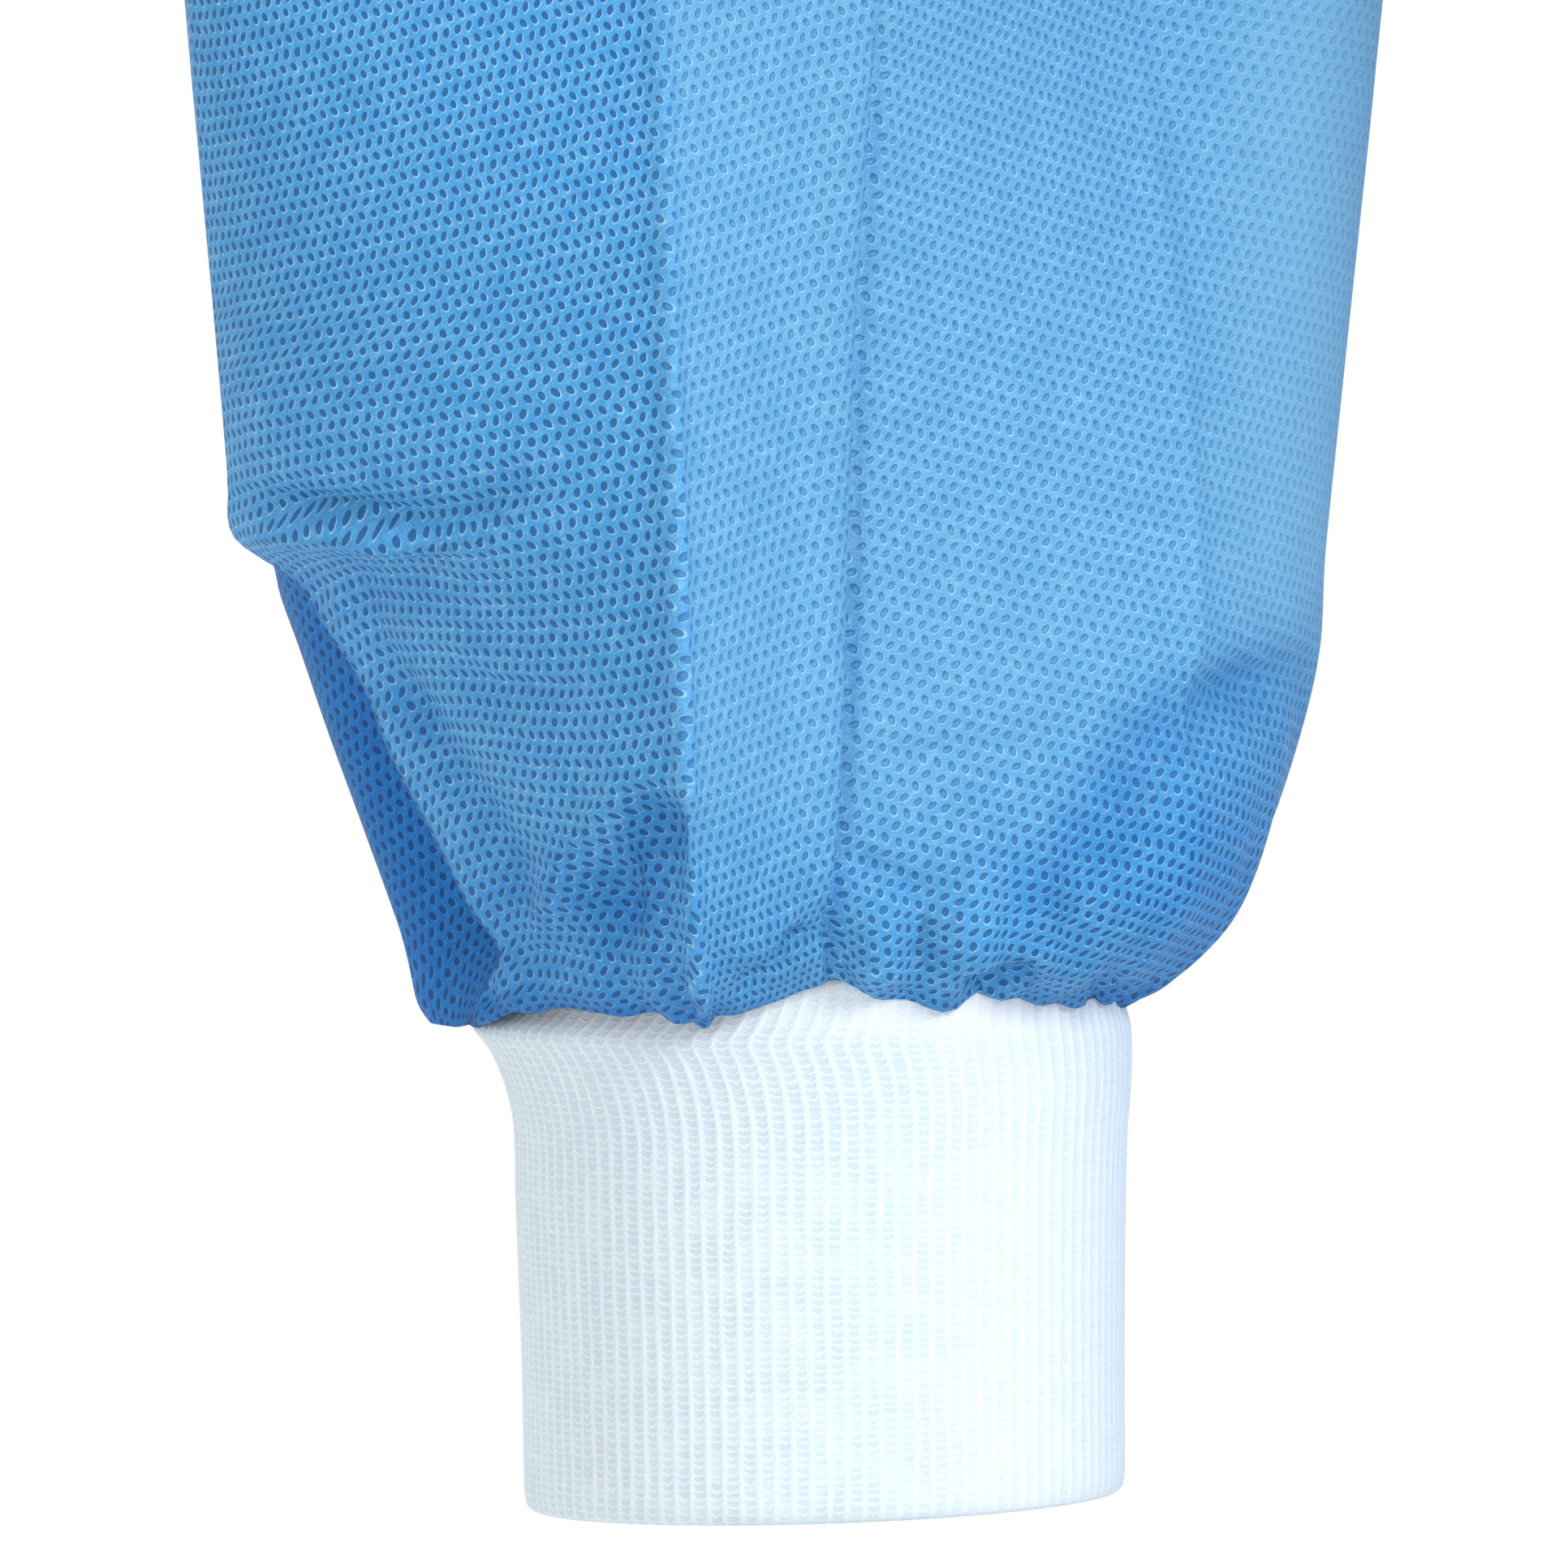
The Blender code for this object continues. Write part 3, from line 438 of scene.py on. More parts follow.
def outward_normals(points, closed):
    """The way each point of a sheet faces, square to its row and its column."""
    if closed:
        wrapped = np.concatenate((points[:, -2:-1], points, points[:, 1:2]), axis=1)
        around = wrapped[:, 2:] - wrapped[:, :-2]
    else:
        around = np.gradient(points, axis=1)
    normals = unit(np.cross(around, np.gradient(points, axis=0)))
    middle = points.mean(axis=1, keepdims=True)
    if closed and (normals * (points - middle)).sum() < 0:
        normals = -normals
    return normals


# %% [markdown]
# ## Listed creases
# The jacket comes folded small in a pack, so its cloth keeps sharp creases, and the gathers above the cuff pull soft
# dents into it. Sculpting would place them one by one with a brush. A short table does the same here: each crease
# is a path over the front of the sleeve, with a depth, a width, and whether it stands up or sinks in.

# %% Creases of the sleeve
# Each crease is its depth, below 0 where it sinks in, its width, and its path as (height, out), in millimetres
SLEEVE_CREASES = (
    (1.1, 1.0, (49, 7.8), (58, 8.6), (70, 9.2), (90, 10.2), (120, 11.0), (152, 12.0)),
    (1.7, 2.2, (60, -3.1), (72, -4.0), (90, -4.3), (120, -5.2), (152, -7.2)),
    (-2.0, 0.7, (53, -4.8), (68, -5.6), (82, -6.6), (96, -6.9), (120, -7.9), (152, -10.2)),
    (0.6, 1.4, (80, -41.8), (96, -41.2), (116, -39.9), (140, -36.4), (152, -35.0)),
    (1.5, 1.3, (98.6, 55.0), (99.0, 43.7), (98.0, 37.1), (99.6, 29.8), (103.3, 23.2)),
    (-1.9, 2.2, (101.8, 54.0), (101.4, 43.7), (101.0, 37.1), (102.4, 29.8), (106, 23.2)),
    (-1.6, 3.0, (95.6, 52.0), (94.0, 46.7), (94.0, 40.1), (96.4, 30.8)),
    (1.5, 1.5, (78.7, 12.1), (73, 17.0), (67.2, 21.6), (62, 23.5), (57.4, 24.8)),
    (-3.4, 4.4, (75.0, 11.2), (70, 13.2), (64, 15.6), (57, 17.4)),
    (0.8, 1.4, (88.5, 34.0), (86.0, 28.0), (86.8, 20.0)),
    (-0.8, 1.8, (86.3, 34.0), (84.0, 28.0), (84.6, 20.0)),
    (-0.7, 1.2, (77.9, -6.3), (77.9, -15.3), (79.1, -23.5), (80.4, -27.6)),
    (0.5, 1.4, (79.3, -6.3), (79.3, -15.3), (80.5, -23.5)),
    (-1.3, 1.2, (67.6, -5.5), (66.2, -9.4), (64.4, -12.4), (61.5, -14.2)),
    (-1.5, 1.2, (62.3, -13.5), (58.5, -14.0), (54.5, -13.4)),
    (1.5, 3.2, (64, -9.6), (58, -9.8), (53, -9.2)),
    (1.2, 3.0, (63, -18.5), (58, -19.0), (55, -18.0)),
    (-1.3, 1.0, (102.3, 55.5), (101.2, 43.5), (99.4, 35.0), (101.0, 29.0), (103.8, 23.0)),
    (0.9, 1.2, (100.2, 55.0), (99.5, 44.0), (97.8, 36.0)),
    (-0.9, 1.6, (97, 44.9), (88, 40.5), (76.4, 34.9), (68, 30.5)),
    (-1.4, 1.0, (59.3, -5.2), (59.1, -1.5), (56.7, 0.2), (54.6, 3.0), (53.2, 5.8)),
    (1.1, 1.6, (61.2, -3.6), (61.0, -0.8), (58.4, 2.2), (56.4, 5.0)),
    (-2.6, 4.2, (84.5, -53.9), (82, -44.0), (77.9, -35.8), (70.5, -33.4), (64.8, -26.8), (55, -26.8)),
    (-0.8, 1.6, (86.0, -55.0), (84.2, -49.0), (83.4, -43.0)),
    (-1.2, 2.0, (86, 40), (76, 32.5), (66, 27.0), (58, 25.5)),
    (-0.9, 1.4, (58.5, 0.3), (60.5, -2.1), (62.0, -5.2)),
    (-1.6, 1.0, (52.2, -17.5), (54.1, -19.8), (54.9, -24.1), (53.4, -26.5)),
    (-1.2, 1.0, (51.0, -30.6), (53.0, -32.0), (54.5, -34.5)),
)


def crease_depth(out, height, creases):
    """How far the creases move the cloth at each place, in millimetres."""
    moved = np.zeros_like(out)
    for depth, width, *path in creases:
        path = np.array([(o, h) for h, o in path], float)
        starts = distances(path)
        lengths = np.diff(starts)
        nearest, along = np.full(out.shape, 1e9), np.zeros(out.shape)
        for (x0, y0), (x1, y1), length, start in zip(path, path[1:], lengths, starts):
            t = np.clip(((out - x0) * (x1 - x0) + (height - y0) * (y1 - y0)) / length**2, 0, 1)
            distance = np.hypot(out - x0 - t * (x1 - x0), height - y0 - t * (y1 - y0))
            closer = distance < nearest
            nearest = np.where(closer, distance, nearest)
            along = np.where(closer, start + t * length, along)
        fade = min(8.0, starts[-1] / 3)
        taper = ease(along / fade + 0.15) * ease((starts[-1] - along) / fade + 0.15)
        moved += depth * np.exp(-((nearest / width) ** 2)) * taper
    return moved


# %% [markdown]
# ## The gathered edge
# Where the wide sleeve meets the narrow cuff, the sewer pushes the extra cloth into small uneven gathers. The edge
# rises and falls, and the cloth puffs over the seam before it turns in under itself. A wave that wanders in width
# and height gives the gathers, and two last rows turned inwards give the rolled edge.

# %% Gathers
CUFF_SHIFT, GATHERS, GATHER_DEPTH, POUCH_DROP = -4.0, 29, 3.0, 2.4

# How far the lower edge rises above its mean height, by its place from the inner side to the outer side, in mm
EDGE_RISE = Sizes(
    "out rise", (-35.3, 0.6), (-26.8, 0.8), (-21.9, 2.0), (-16.2, 1.4), (-9.9, 2.2), (-6.0, 3.9), (-4.0, 3.7),
    (-2.0, 3.0), (0.2, 1.8), (4.0, 1.0), (6.9, 0.3), (7.9, -1.0), (9.0, 0.2), (17.0, 0.4), (25.2, 0.3),
    (29.0, -0.8), (31.7, -1.6),
)

# The rolled edge's two rows: how far each lies in from the edge, and how far it rises, in millimetres
ROLLED_IN = ((1.2, 0.8), (0.6, -0.1))


def gather_wave(angle, turn):
    """From 0 to 1: how far a gather stands out at an angle round the cuff. They are uneven in width and height."""
    wander = 1.7 * np.sin(3 * angle + turn) + 1.2 * np.sin(5 * angle + 2 * turn) + 0.7 * np.sin(11 * angle + turn)
    uneven = 0.58 + 0.27 * np.sin(7 * angle + 3 * turn) + 0.15 * np.sin(13 * angle + turn)
    return (0.5 + 0.5 * np.cos(GATHERS * angle + wander)) * uneven, uneven


def gather(points, turn, edge_rise):
    """The rows with their lower end gathered, its edge raised and let down, and rolled in at the very end.

    The cloth that the pleat has taken up is smooth, so it has hardly a gather."""
    smooth = on_line("pleat_edge", "recess", "outer") & (columns[1] < 0.8)
    gathered = 1 - ease(1.6 * np.convolve(smooth, np.ones(7) / 7, "same"))
    out, front, height = sleeve_places(points)
    angle = np.arctan2(front, out - CUFF_SHIFT)
    wave, uneven = gather_wave(angle, turn)
    above = np.maximum(height - EDGE_HEIGHT, 0.0)
    reach = 7.0 + 15.0 * uneven
    stand = (wave - 0.35) * GATHER_DEPTH * np.exp(-above / reach * 1.6) * ease((above + 0.9) / 3.0) * gathered
    away = unit(np.stack((out - CUFF_SHIFT, front), -1))
    lift = EDGE_RISE.read("rise", out) * ease((front + 2) / 12) * edge_rise * np.exp(-((above / 9.0) ** 2))
    hang = 1.1 * (wave - 0.4) * np.exp(-((above / 3.0) ** 2)) * gathered
    pouch = ease((out - 29.5) / 4.5) * ease((front + 16) / 10) * np.exp(-((above / 4.0) ** 2))
    moved = points.copy()
    moved[..., 0] += away[..., 0] * stand * MM
    moved[..., 1] -= away[..., 1] * stand * MM
    moved[..., 2] += (lift - hang - POUCH_DROP * pouch) * MM
    inward = np.stack((-away[0, :, 0], away[0, :, 1], np.zeros(len(away[0]))), -1)
    rolled = [moved[0] + (inward * depth + np.array((0, 0, rise))) * MM for depth, rise in ROLLED_IN]
    return np.concatenate((np.array(rolled), moved))


# %% [markdown]
# ## The flat pattern
# A sleeve tapers, so its flat cut is part of a wide ring, and the rows of the welded pattern meet at a shallow angle
# along the seam. Unrolling the sleeve as a cone gives this: each column has a direction from the cone's tip, and
# each point its distance from the tip, measured along the cloth. Below the pleat's corner the cloth between the
# ridge and the pleat keeps its own width, and slides into the pleat. So those columns are spread by their own
# length from the ridge, and the pleat's floor by its own length from the outer side. What is left over lies in the
# few columns that the pleat's edge hides.

# %% Unrolling
CONE_ANGLE, TIP_BELOW, CONE_LEVEL, SLIDES_BELOW = math.radians(31.2), 589.0, 110, 125


def unroll(form):
    """The flat pattern of a sleeve, in millimetres, from its rows before they are gathered."""
    heights = (form[:, 0, 2] - CUFF_END_Z) / MM
    level = int(np.argmin(np.abs(heights - CONE_LEVEL)))
    share = distances(form[level])
    along = unit(np.gradient(form, axis=1))[1:]
    rise = np.diff(form, axis=0)
    climbs = np.linalg.norm(rise - (rise * along).sum(-1, keepdims=True) * along, axis=2) / MM
    climbed = np.insert(np.cumsum(climbs, axis=0), 0, 0.0, axis=0)
    radius = TIP_BELOW + CONE_LEVEL + climbed - climbed[level]
    direction = np.broadcast_to((0.5 - share / share[-1]) * CONE_ANGLE, radius.shape).copy()
    ridge, edge, recess, outer = (
        int(np.argmax(on_line(name))) for name in ("ridge", "pleat_edge", "recess", "outer")
    )
    around = distances(form, 1) / MM
    low = ease((SLIDES_BELOW - heights) / 15)[:, None]
    for near, first, last in ((ridge, ridge, edge), (outer, recess, outer)):
        own = slice(first, last + 1)
        taken = direction[:, near : near + 1] - (around[:, own] - around[:, near : near + 1]) / radius[:, own]
        direction[:, own] += (taken - direction[:, own]) * low
    hidden = np.linspace(0, 1, recess - edge + 1)
    for values in (direction, radius):
        before, after = values[:, edge : edge + 1], values[:, recess : recess + 1]
        values[:, edge : recess + 1] = before * (1 - hidden) + after * hidden
    flat = np.stack((radius * np.sin(direction), radius * np.cos(direction)), -1)
    turned_in = [flat[0] - np.array((0.0, depth)) for depth in (1.7, 0.6)]
    return np.concatenate((np.array(turned_in), flat))


# %% [markdown]
# ## Building materials from nodes
# A pattern that has to hold at any distance is best worked out, not painted. An amount stands for a number that
# changes over the cloth: sums written with amounts add the nodes that work them out. A finish holds the material.

# %% Wiring helpers
class Amount:
    """A number that a material's nodes work out. Sums with it add their own nodes."""

    def __init__(self, finish, socket):
        self.finish, self.socket = finish, socket

    def __add__(self, other):
        return self.finish.sum("ADD", self, other)

    def __sub__(self, other):
        return self.finish.sum("SUBTRACT", self, other)

    def __rsub__(self, other):
        return self.finish.sum("SUBTRACT", other, self)

    def __mul__(self, other):
        return self.finish.sum("MULTIPLY", self, other)

    def __truediv__(self, other):
        return self.finish.sum("DIVIDE", self, other)

    def step(self, low, high):
        """0 where it is below low, 1 above high, and a smooth step between."""
        made = self.finish.add("ShaderNodeMapRange", interpolation_type="SMOOTHSTEP")
        self.finish.join_all(made.inputs, {"Value": self, "From Min": low, "From Max": high})
        return Amount(self.finish, made.outputs[0])


class Finish:
    """A material whose nodes are added and joined by short calls."""

    def __init__(self, name, flat_map=None):
        self.material = bpy.data.materials.new(name)
        self.material.use_nodes = True
        self.nodes, self.links = self.material.node_tree.nodes, self.material.node_tree.links
        self.shader = self.nodes["Principled BSDF"]
        if flat_map:
            self.flat = self.add("ShaderNodeUVMap", uv_map=flat_map).outputs["UV"]
            split = self.add("ShaderNodeSeparateXYZ")
            self.join(self.flat, split.inputs[0])
            self.u, self.v = Amount(self, split.outputs["X"]), Amount(self, split.outputs["Y"])

    def add(self, kind, **settings):
        made = self.nodes.new(kind)
        for name, value in settings.items():
            setattr(made, name, value)
        return made

    def join(self, value, socket):
        value = value.socket if isinstance(value, Amount) else value
        if isinstance(value, bpy.types.NodeSocket):
            self.links.new(value, socket)
        else:
            socket.default_value = value

    def join_all(self, inputs, values):
        for name, value in values.items():
            self.join(value, inputs[name])

    def sum(self, operation, *values):
        made = self.add("ShaderNodeMath", operation=operation)
        self.join_all(made.inputs, dict(enumerate(values)))
        return Amount(self, made.outputs[0])

    def share(self, name):
        """An amount from 0 to 1 that a piece of cloth keeps at each point."""
        kept = self.add("ShaderNodeAttribute", attribute_type="GEOMETRY", attribute_name=name)
        return Amount(self, kept.outputs["Fac"])

    def streaks(self, length, width, degrees, seed, detail=2.0):
        """Noise drawn out along one direction, sized in the flat map's own units."""
        place = self.add("ShaderNodeMapping", vector_type="TEXTURE")
        self.join_all(place.inputs, {
            "Vector": self.flat, "Location": (seed, seed, 0.0), "Rotation": (0.0, 0.0, math.radians(degrees)),
            "Scale": (length, width, 1.0),
        })
        noise = self.add("ShaderNodeTexNoise", noise_dimensions="2D")
        self.join_all(noise.inputs, {"Vector": place.outputs[0], "Scale": 1.0, "Detail": detail})
        return Amount(self, noise.outputs[0])

    def grain(self, scale):
        """Noise through a small moulded or spun piece, finer with a larger scale."""
        noise = self.add("ShaderNodeTexNoise", noise_dimensions="3D")
        place = self.add("ShaderNodeTexCoord").outputs["Object"]
        self.join_all(noise.inputs, {"Vector": place, "Scale": scale})
        return Amount(self, noise.outputs[0])

    def blend(self, share, first, second, kind="MIX"):
        made = self.add("ShaderNodeMix", data_type="RGBA", blend_type=kind)
        self.join_all(made.inputs, {0: share, 6: first, 7: second})
        return made.outputs[2]

    def look(self, height, distance, **settings):
        """The shader's settings, and the fine relief that a bump of this distance gives."""
        bump = self.add("ShaderNodeBump")
        self.join_all(bump.inputs, {"Strength": 1.0, "Distance": distance, "Height": height})
        self.join(bump.outputs[0], self.shader.inputs["Normal"])
        for name, value in settings.items():
            self.join(value, self.shader.inputs[SHADER_SOCKETS[name]])


SHADER_SOCKETS = {
    "colour": "Base Color", "roughness": "Roughness", "shine": "Specular IOR Level", "sheen": "Sheen Weight",
    "sheen_tint": "Sheen Tint", "sheen_roughness": "Sheen Roughness",
}


# %% [markdown]
# ## The nonwoven
# The welded ovals stand in rows 1.42 mm apart, 1.52 mm from one to the next, and each row is set half a step along.
# In one row the ovals lean one way, and in the next row the other way. To draw them, the flat map is cut into
# cells, each cell is turned by its row's lean, and the distance from the oval's rim says what is inside. Each oval
# has a painted highlight on its lower right rim and a painted shadow inside its upper left side. Between the ovals
# the fibres lie in all directions, so streaks of noise in four directions stand for them. Three amounts that the
# pieces keep paint light and shade into the colour from place to place. The lit share blends shaded and lit
# copies of the colours, and makes the ovals paler where it is high. The painted shade deepens the blue in the
# sleeve's recess, dents and corners. The painted back light makes the sleeve's inner side paler, which the body
# shades from the lamp.

# %% The nonwoven's material
OVAL_ROW, OVAL_STEP, OVAL_LEAN = 1.42, 1.52, math.radians(52)
OVAL_HALF_LENGTH, OVAL_HALF_WIDTH = 0.50, 0.33


# The first colour is the painted shadow inside each oval, the second the blue multiplied in as painted shade
OVAL_SHADE, PAINTED_SHADE_BLUE = (0.020, 0.120, 0.330, 1.0), (0.09, 0.49, 0.75, 1.0)
# The paler blue of the painted light on the sleeve's inner side
PAINTED_BACK_LIGHT_BLUE = (0.38, 0.76, 0.99, 1.0)


def nonwoven(name, pale, deep, oval_colour, highlight_and_fibre_colour):
    """The four colours are each a pair: a shaded copy and a lit copy, blended by the lit share, which paints light and
    shade.
    """
    cloth = Finish(name, "cloth_mm")
    lit_share, painted_shade, painted_back_light = (cloth.share(kept) for kept in ("lit_share", "painted_shade", "painted_back_light"))
    pale, deep, oval_colour, highlight_and_fibre_colour = (
        cloth.blend(lit_share, *pair) for pair in (pale, deep, oval_colour, highlight_and_fibre_colour)
    )
    wander = (cloth.streaks(3.0, 3.0, 0, 11.0) - 0.5) * 0.5
    rows = (cloth.v - wander) / OVAL_ROW
    odd = cloth.sum("FLOORED_MODULO", cloth.sum("FLOOR", rows), 2.0)
    steps = (cloth.u + wander) / OVAL_STEP + odd * 0.5
    along = (cloth.sum("FRACT", steps) - 0.5) * OVAL_STEP
    up = (cloth.sum("FRACT", rows) - 0.5) * OVAL_ROW
    turned_up = up * (1.0 - odd * 2.0)
    long_way = (along * math.cos(OVAL_LEAN) + turned_up * math.sin(OVAL_LEAN)) / OVAL_HALF_LENGTH
    short_way = (turned_up * math.cos(OVAL_LEAN) - along * math.sin(OVAL_LEAN)) / OVAL_HALF_WIDTH
    reach = cloth.sum("SQRT", long_way * long_way + short_way * short_way)
    down_right = along - up
    inside = 1.0 - reach.step(0.80, 1.15)
    # Painted highlight: a pale rim on each oval's lower right side
    rim_highlight = reach.step(0.95, 1.15) * (1.0 - reach.step(1.2, 1.7)) * down_right.step(0.0, 0.6)
    edge_line = reach.step(0.62, 0.85) * (1.0 - reach.step(0.95, 1.15))
    # Painted shadow: a dark crescent inside each oval's upper left side, with the oval's thin dark outline
    shade = cloth.sum("MAXIMUM", inside * down_right.step(0.1, -0.45), edge_line * 0.5)

    fibres = cloth.streaks(2.2, 0.11, 12, 3.0) + cloth.streaks(1.8, 0.10, 68, 5.0)
    fibres = fibres + cloth.streaks(2.0, 0.11, -40, 7.0) + cloth.streaks(1.6, 0.10, -82, 9.0)
    fibres = (fibres / 4.0).step(0.40, 0.60)
    clouds = cloth.streaks(6.0, 4.0, 5, 21.0, 3.0)
    strands = cloth.streaks(2.6, 0.14, 24, 41.0).step(0.56, 0.70) * clouds.step(0.65, 0.35)
    patchy = cloth.streaks(1.1, 1.1, 0, 51.0).step(0.35, 0.65) * 0.65 + 0.35
    colour = cloth.blend(fibres, deep, pale)
    # Pale fibre strands and the painted rim highlight share one colour. The ovals' own darker fill is weaker where the
    # lit share is high, which is painted light
    for share, tint in (
        (clouds.step(0.35, 0.7) * 0.35, deep), (strands * 0.45, highlight_and_fibre_colour), (rim_highlight * patchy, highlight_and_fibre_colour),
        (inside * (0.92 - lit_share * 0.50), oval_colour), (shade * 0.60, OVAL_SHADE),
    ):
        colour = cloth.blend(share, colour, tint)
    # Painted shade: a deeper blue multiplied in where the sleeve's recess, dents, corners and rolled edge lie in shade
    colour = cloth.blend(painted_shade, colour, PAINTED_SHADE_BLUE, "MULTIPLY")
    # Painted light: the sleeve's inner side, which the body shades from the lamp, is made paler
    colour = cloth.blend(painted_back_light * 0.5, colour, PAINTED_BACK_LIGHT_BLUE)
    puckers = cloth.streaks(9.0, 1.7, 2, 31.0) * 0.9
    cloth.look(
        inside * -0.8 + fibres * 0.35 + puckers, 0.13 * MM, colour=colour, roughness=0.55, shine=0.25, sheen=0.12,
        sheen_tint=(0.40, 0.72, 1.0, 1.0), sheen_roughness=0.4,
    )
    return cloth.material


# In each pair the first colour is the shaded copy and the second the lit copy
blue_cloth = nonwoven(
    "blue_nonwoven_cloth", pale=((0.112, 0.440, 0.810, 1.0), (0.205, 0.505, 0.785, 1.0)),
    deep=((0.050, 0.300, 0.680, 1.0), (0.132, 0.405, 0.700, 1.0)),
    oval_colour=((0.018, 0.130, 0.355, 1.0), (0.085, 0.300, 0.560, 1.0)),
    highlight_and_fibre_colour=((0.340, 0.660, 0.900, 1.0), (0.340, 0.630, 0.860, 1.0)),
)
print("nodes in the nonwoven:", len(blue_cloth.node_tree.nodes))

# %% [markdown]
# ## The knit
# The cuffs and the collar are a rib knit: narrow columns of stitches, called wales, about 1.8 mm apart. Each wale
# shows as one bright thread that runs up it, with a small loop at every course beside it. The flat map counts
# wales and courses, so one cell of it is one stitch. The loop is a thin band along a bent line in that cell.

# %% The knit's material
# Near white that lightens the knit: pale fuzz along the seam, and painted light
PAINTED_LIGHT_WHITE = (0.97, 0.985, 1.0, 1.0)


def rib_knit(name, thread, gap_shade):
    knit = Finish(name, "stitches")
    sway = (knit.streaks(0.9, 7.0, 0, 2.0) - 0.5) * 0.34
    drift = (knit.streaks(1.3, 1.3, 0, 4.0) - 0.5) * 0.9
    across = knit.sum("FRACT", knit.u + sway) - 0.5
    up = knit.sum("FRACT", knit.v + drift) - 0.5
    from_line = 0.5 - knit.sum("ABSOLUTE", across)
    line = 1.0 - from_line.step(0.01, 0.085)
    bend = across * across * 2.4 - 0.22
    loop = 1.0 - knit.sum("ABSOLUTE", up - bend).step(0.06, 0.30)
    fuzz = knit.streaks(0.10, 0.16, 30, 6.0, 3.0).step(0.34, 0.68)
    patch = knit.streaks(3.0, 5.0, 0, 8.0).step(0.3, 0.75)
    # More gap shade where the knit is stretched open, and painted shade over the cuff's outer side
    hole = (1.0 - loop) * from_line.step(0.08, 0.30) * (patch * 0.35 + 0.25) * (knit.share("stretch_and_painted_shade") + 0.8)
    hole = hole + (1.0 - fuzz) * 0.22
    lit = knit.sum("MAXIMUM", line, 0.72 - hole)
    # The gaps between the loops take the grey blue of the second colour: painted shade
    colour = knit.blend(lit.step(0.0, 0.95), gap_shade, thread)
    # The fuzz share lightens the knit: pale fuzz along the seam, painted light along the top where the puffs shade it,
    # and painted light on its inner side
    colour = knit.blend(knit.share("fuzz"), colour, PAINTED_LIGHT_WHITE)
    knit.look(lit, 0.06 * MM, colour=colour, roughness=0.8, shine=0.2, sheen=0.2)
    return knit.material


# The second colour is the painted shade in the gaps between the loops
white_knit = rib_knit("white_rib_knit", (0.81, 0.90, 0.94, 1.0), (0.61, 0.72, 0.79, 1.0))

# %% [markdown]
# ## Two sleeves
# Both sleeves are cut alike. The right one has a deep pleat beside its gathers, where the cloth has folded over
# itself, and the left one has a shallow one. The mirror image of the rows gives the left sleeve, with its own
# gathers.

# %% Make the sleeves
CLOTH_WALL = 0.45 * MM
# How strongly painted shade darkens the deep dents, the lower corners and the rolled edge at the gathers
DENT_PAINTED_SHADE, CORNER_PAINTED_SHADE, ROLLED_EDGE_PAINTED_SHADE = 0.48, 0.36, 0.75

# How much of the lit colours the cloth takes after each line: painted light from the inner side round to the ridge,
# and painted shade from the ridge round the outer side to the back
LIT_SHARE_BY_LINE = {
    "seam": 0.9, "ridge": 0.0, "pleat_edge": 0.0, "recess": 0.0, "outer": 0.1, "back_outer": 0.2, "back": 0.6,
    "back_inner": 0.7, "inner": 1.0, "second_crease": 0.9,
}


def sleeve_shares(points, pleat, relief):
    """How much of the lit colours each point of a sleeve takes, where painted shade deepens its blue, and where
    painted light makes its inner side paler.
    """
    line = columns[0]
    level = np.array([LIT_SHARE_BY_LINE[name] for name in SLEEVE_LINES])[line]
    level = np.convolve(np.concatenate((level[-3:-1], level, level[1:3])), np.ones(5) / 5, "valid")
    out, _, height = sleeve_places(points)
    # Low on the sleeve, where it curves in to the cuff, the cloth keeps the shaded colours: painted shade
    shaded_below = 52 + 14 * ease((-10 - out) / 40)
    lit_share = level * ease((height - shaded_below) / 30)
    # Painted shade: the blue deepens in the pleat's recess, in deep dents, in the lower corners and along the rolled
    # edge
    inside = on_line("pleat_edge", "recess") | (on_line("outer") & (columns[1] < 0.35))
    painted_shade = np.convolve(inside, (0.25, 0.5, 0.25), "same") * ease((99 - height) / 5) * pleat
    dent_shade = DENT_PAINTED_SHADE * np.clip(-relief / 3.0, 0, 1) * ease((100 - height) / 12)
    corners = ease((out - 6) / 12) * ease((74 - height) / 16) + ease((-26 - out) / 16) * ease((80 - height) / 18)
    rolled = ROLLED_EDGE_PAINTED_SHADE * ease((54.5 - height) / 5)
    painted_shade = np.clip(np.maximum(painted_shade, rolled) + dent_shade + CORNER_PAINTED_SHADE * corners, 0, 1)
    # Painted light on the inner side of the sleeve, above the gathers
    lit = ease((-38 - out) / 20) * ease((height - 78) / 20) * ease((240 - height) / 90)
    return {"lit_share": lit_share, "painted_shade": painted_shade, "painted_back_light": lit}


def make_sleeve(name, side, pleat, turn, fine, coarse, crease_share):
    """A sleeve, from how deep its pleat is, what turns its gathers, its row steps in mm, and its creases' share."""
    base = sleeve_rows(pleat, fine, coarse)
    points = gather(base, turn, crease_share)
    out, front, height = sleeve_places(points)
    depth = crease_depth(out, height, SLEEVE_CREASES) * ease((front + 2) / 6) * crease_share
    points = points + outward_normals(points, True) * depth[..., None] * MM
    points[:, -1] = points[:, 0]
    shares = sleeve_shares(points, pleat, depth)
    points[..., 0] *= side
    centre = (side * SLEEVE_AXIS_X, 0, -0.5)
    return cloth_piece(name, points, unroll(base), centre, CLOTH_WALL, blue_cloth, shares)


sleeve_right = make_sleeve("sleeve_right_cloth", -1, 1.0, 0.0, 1.0, 6.5, 1.0)
sleeve_left = make_sleeve("sleeve_left_cloth", 1, 0.35, 1.9, 1.2, 7.0, 0.8)

# %% [markdown]
# ## Knitted cuffs
# A cuff is a short tube of rib knit, folded at its open end so that it lies double. It is stretched where it is sewn
# to the sleeve, so it flares there, most on the outer side. One grid makes it: its rows run down the outside,
# round the fold and up the inside. The ribs are real relief, and the single stitches are left to the material.

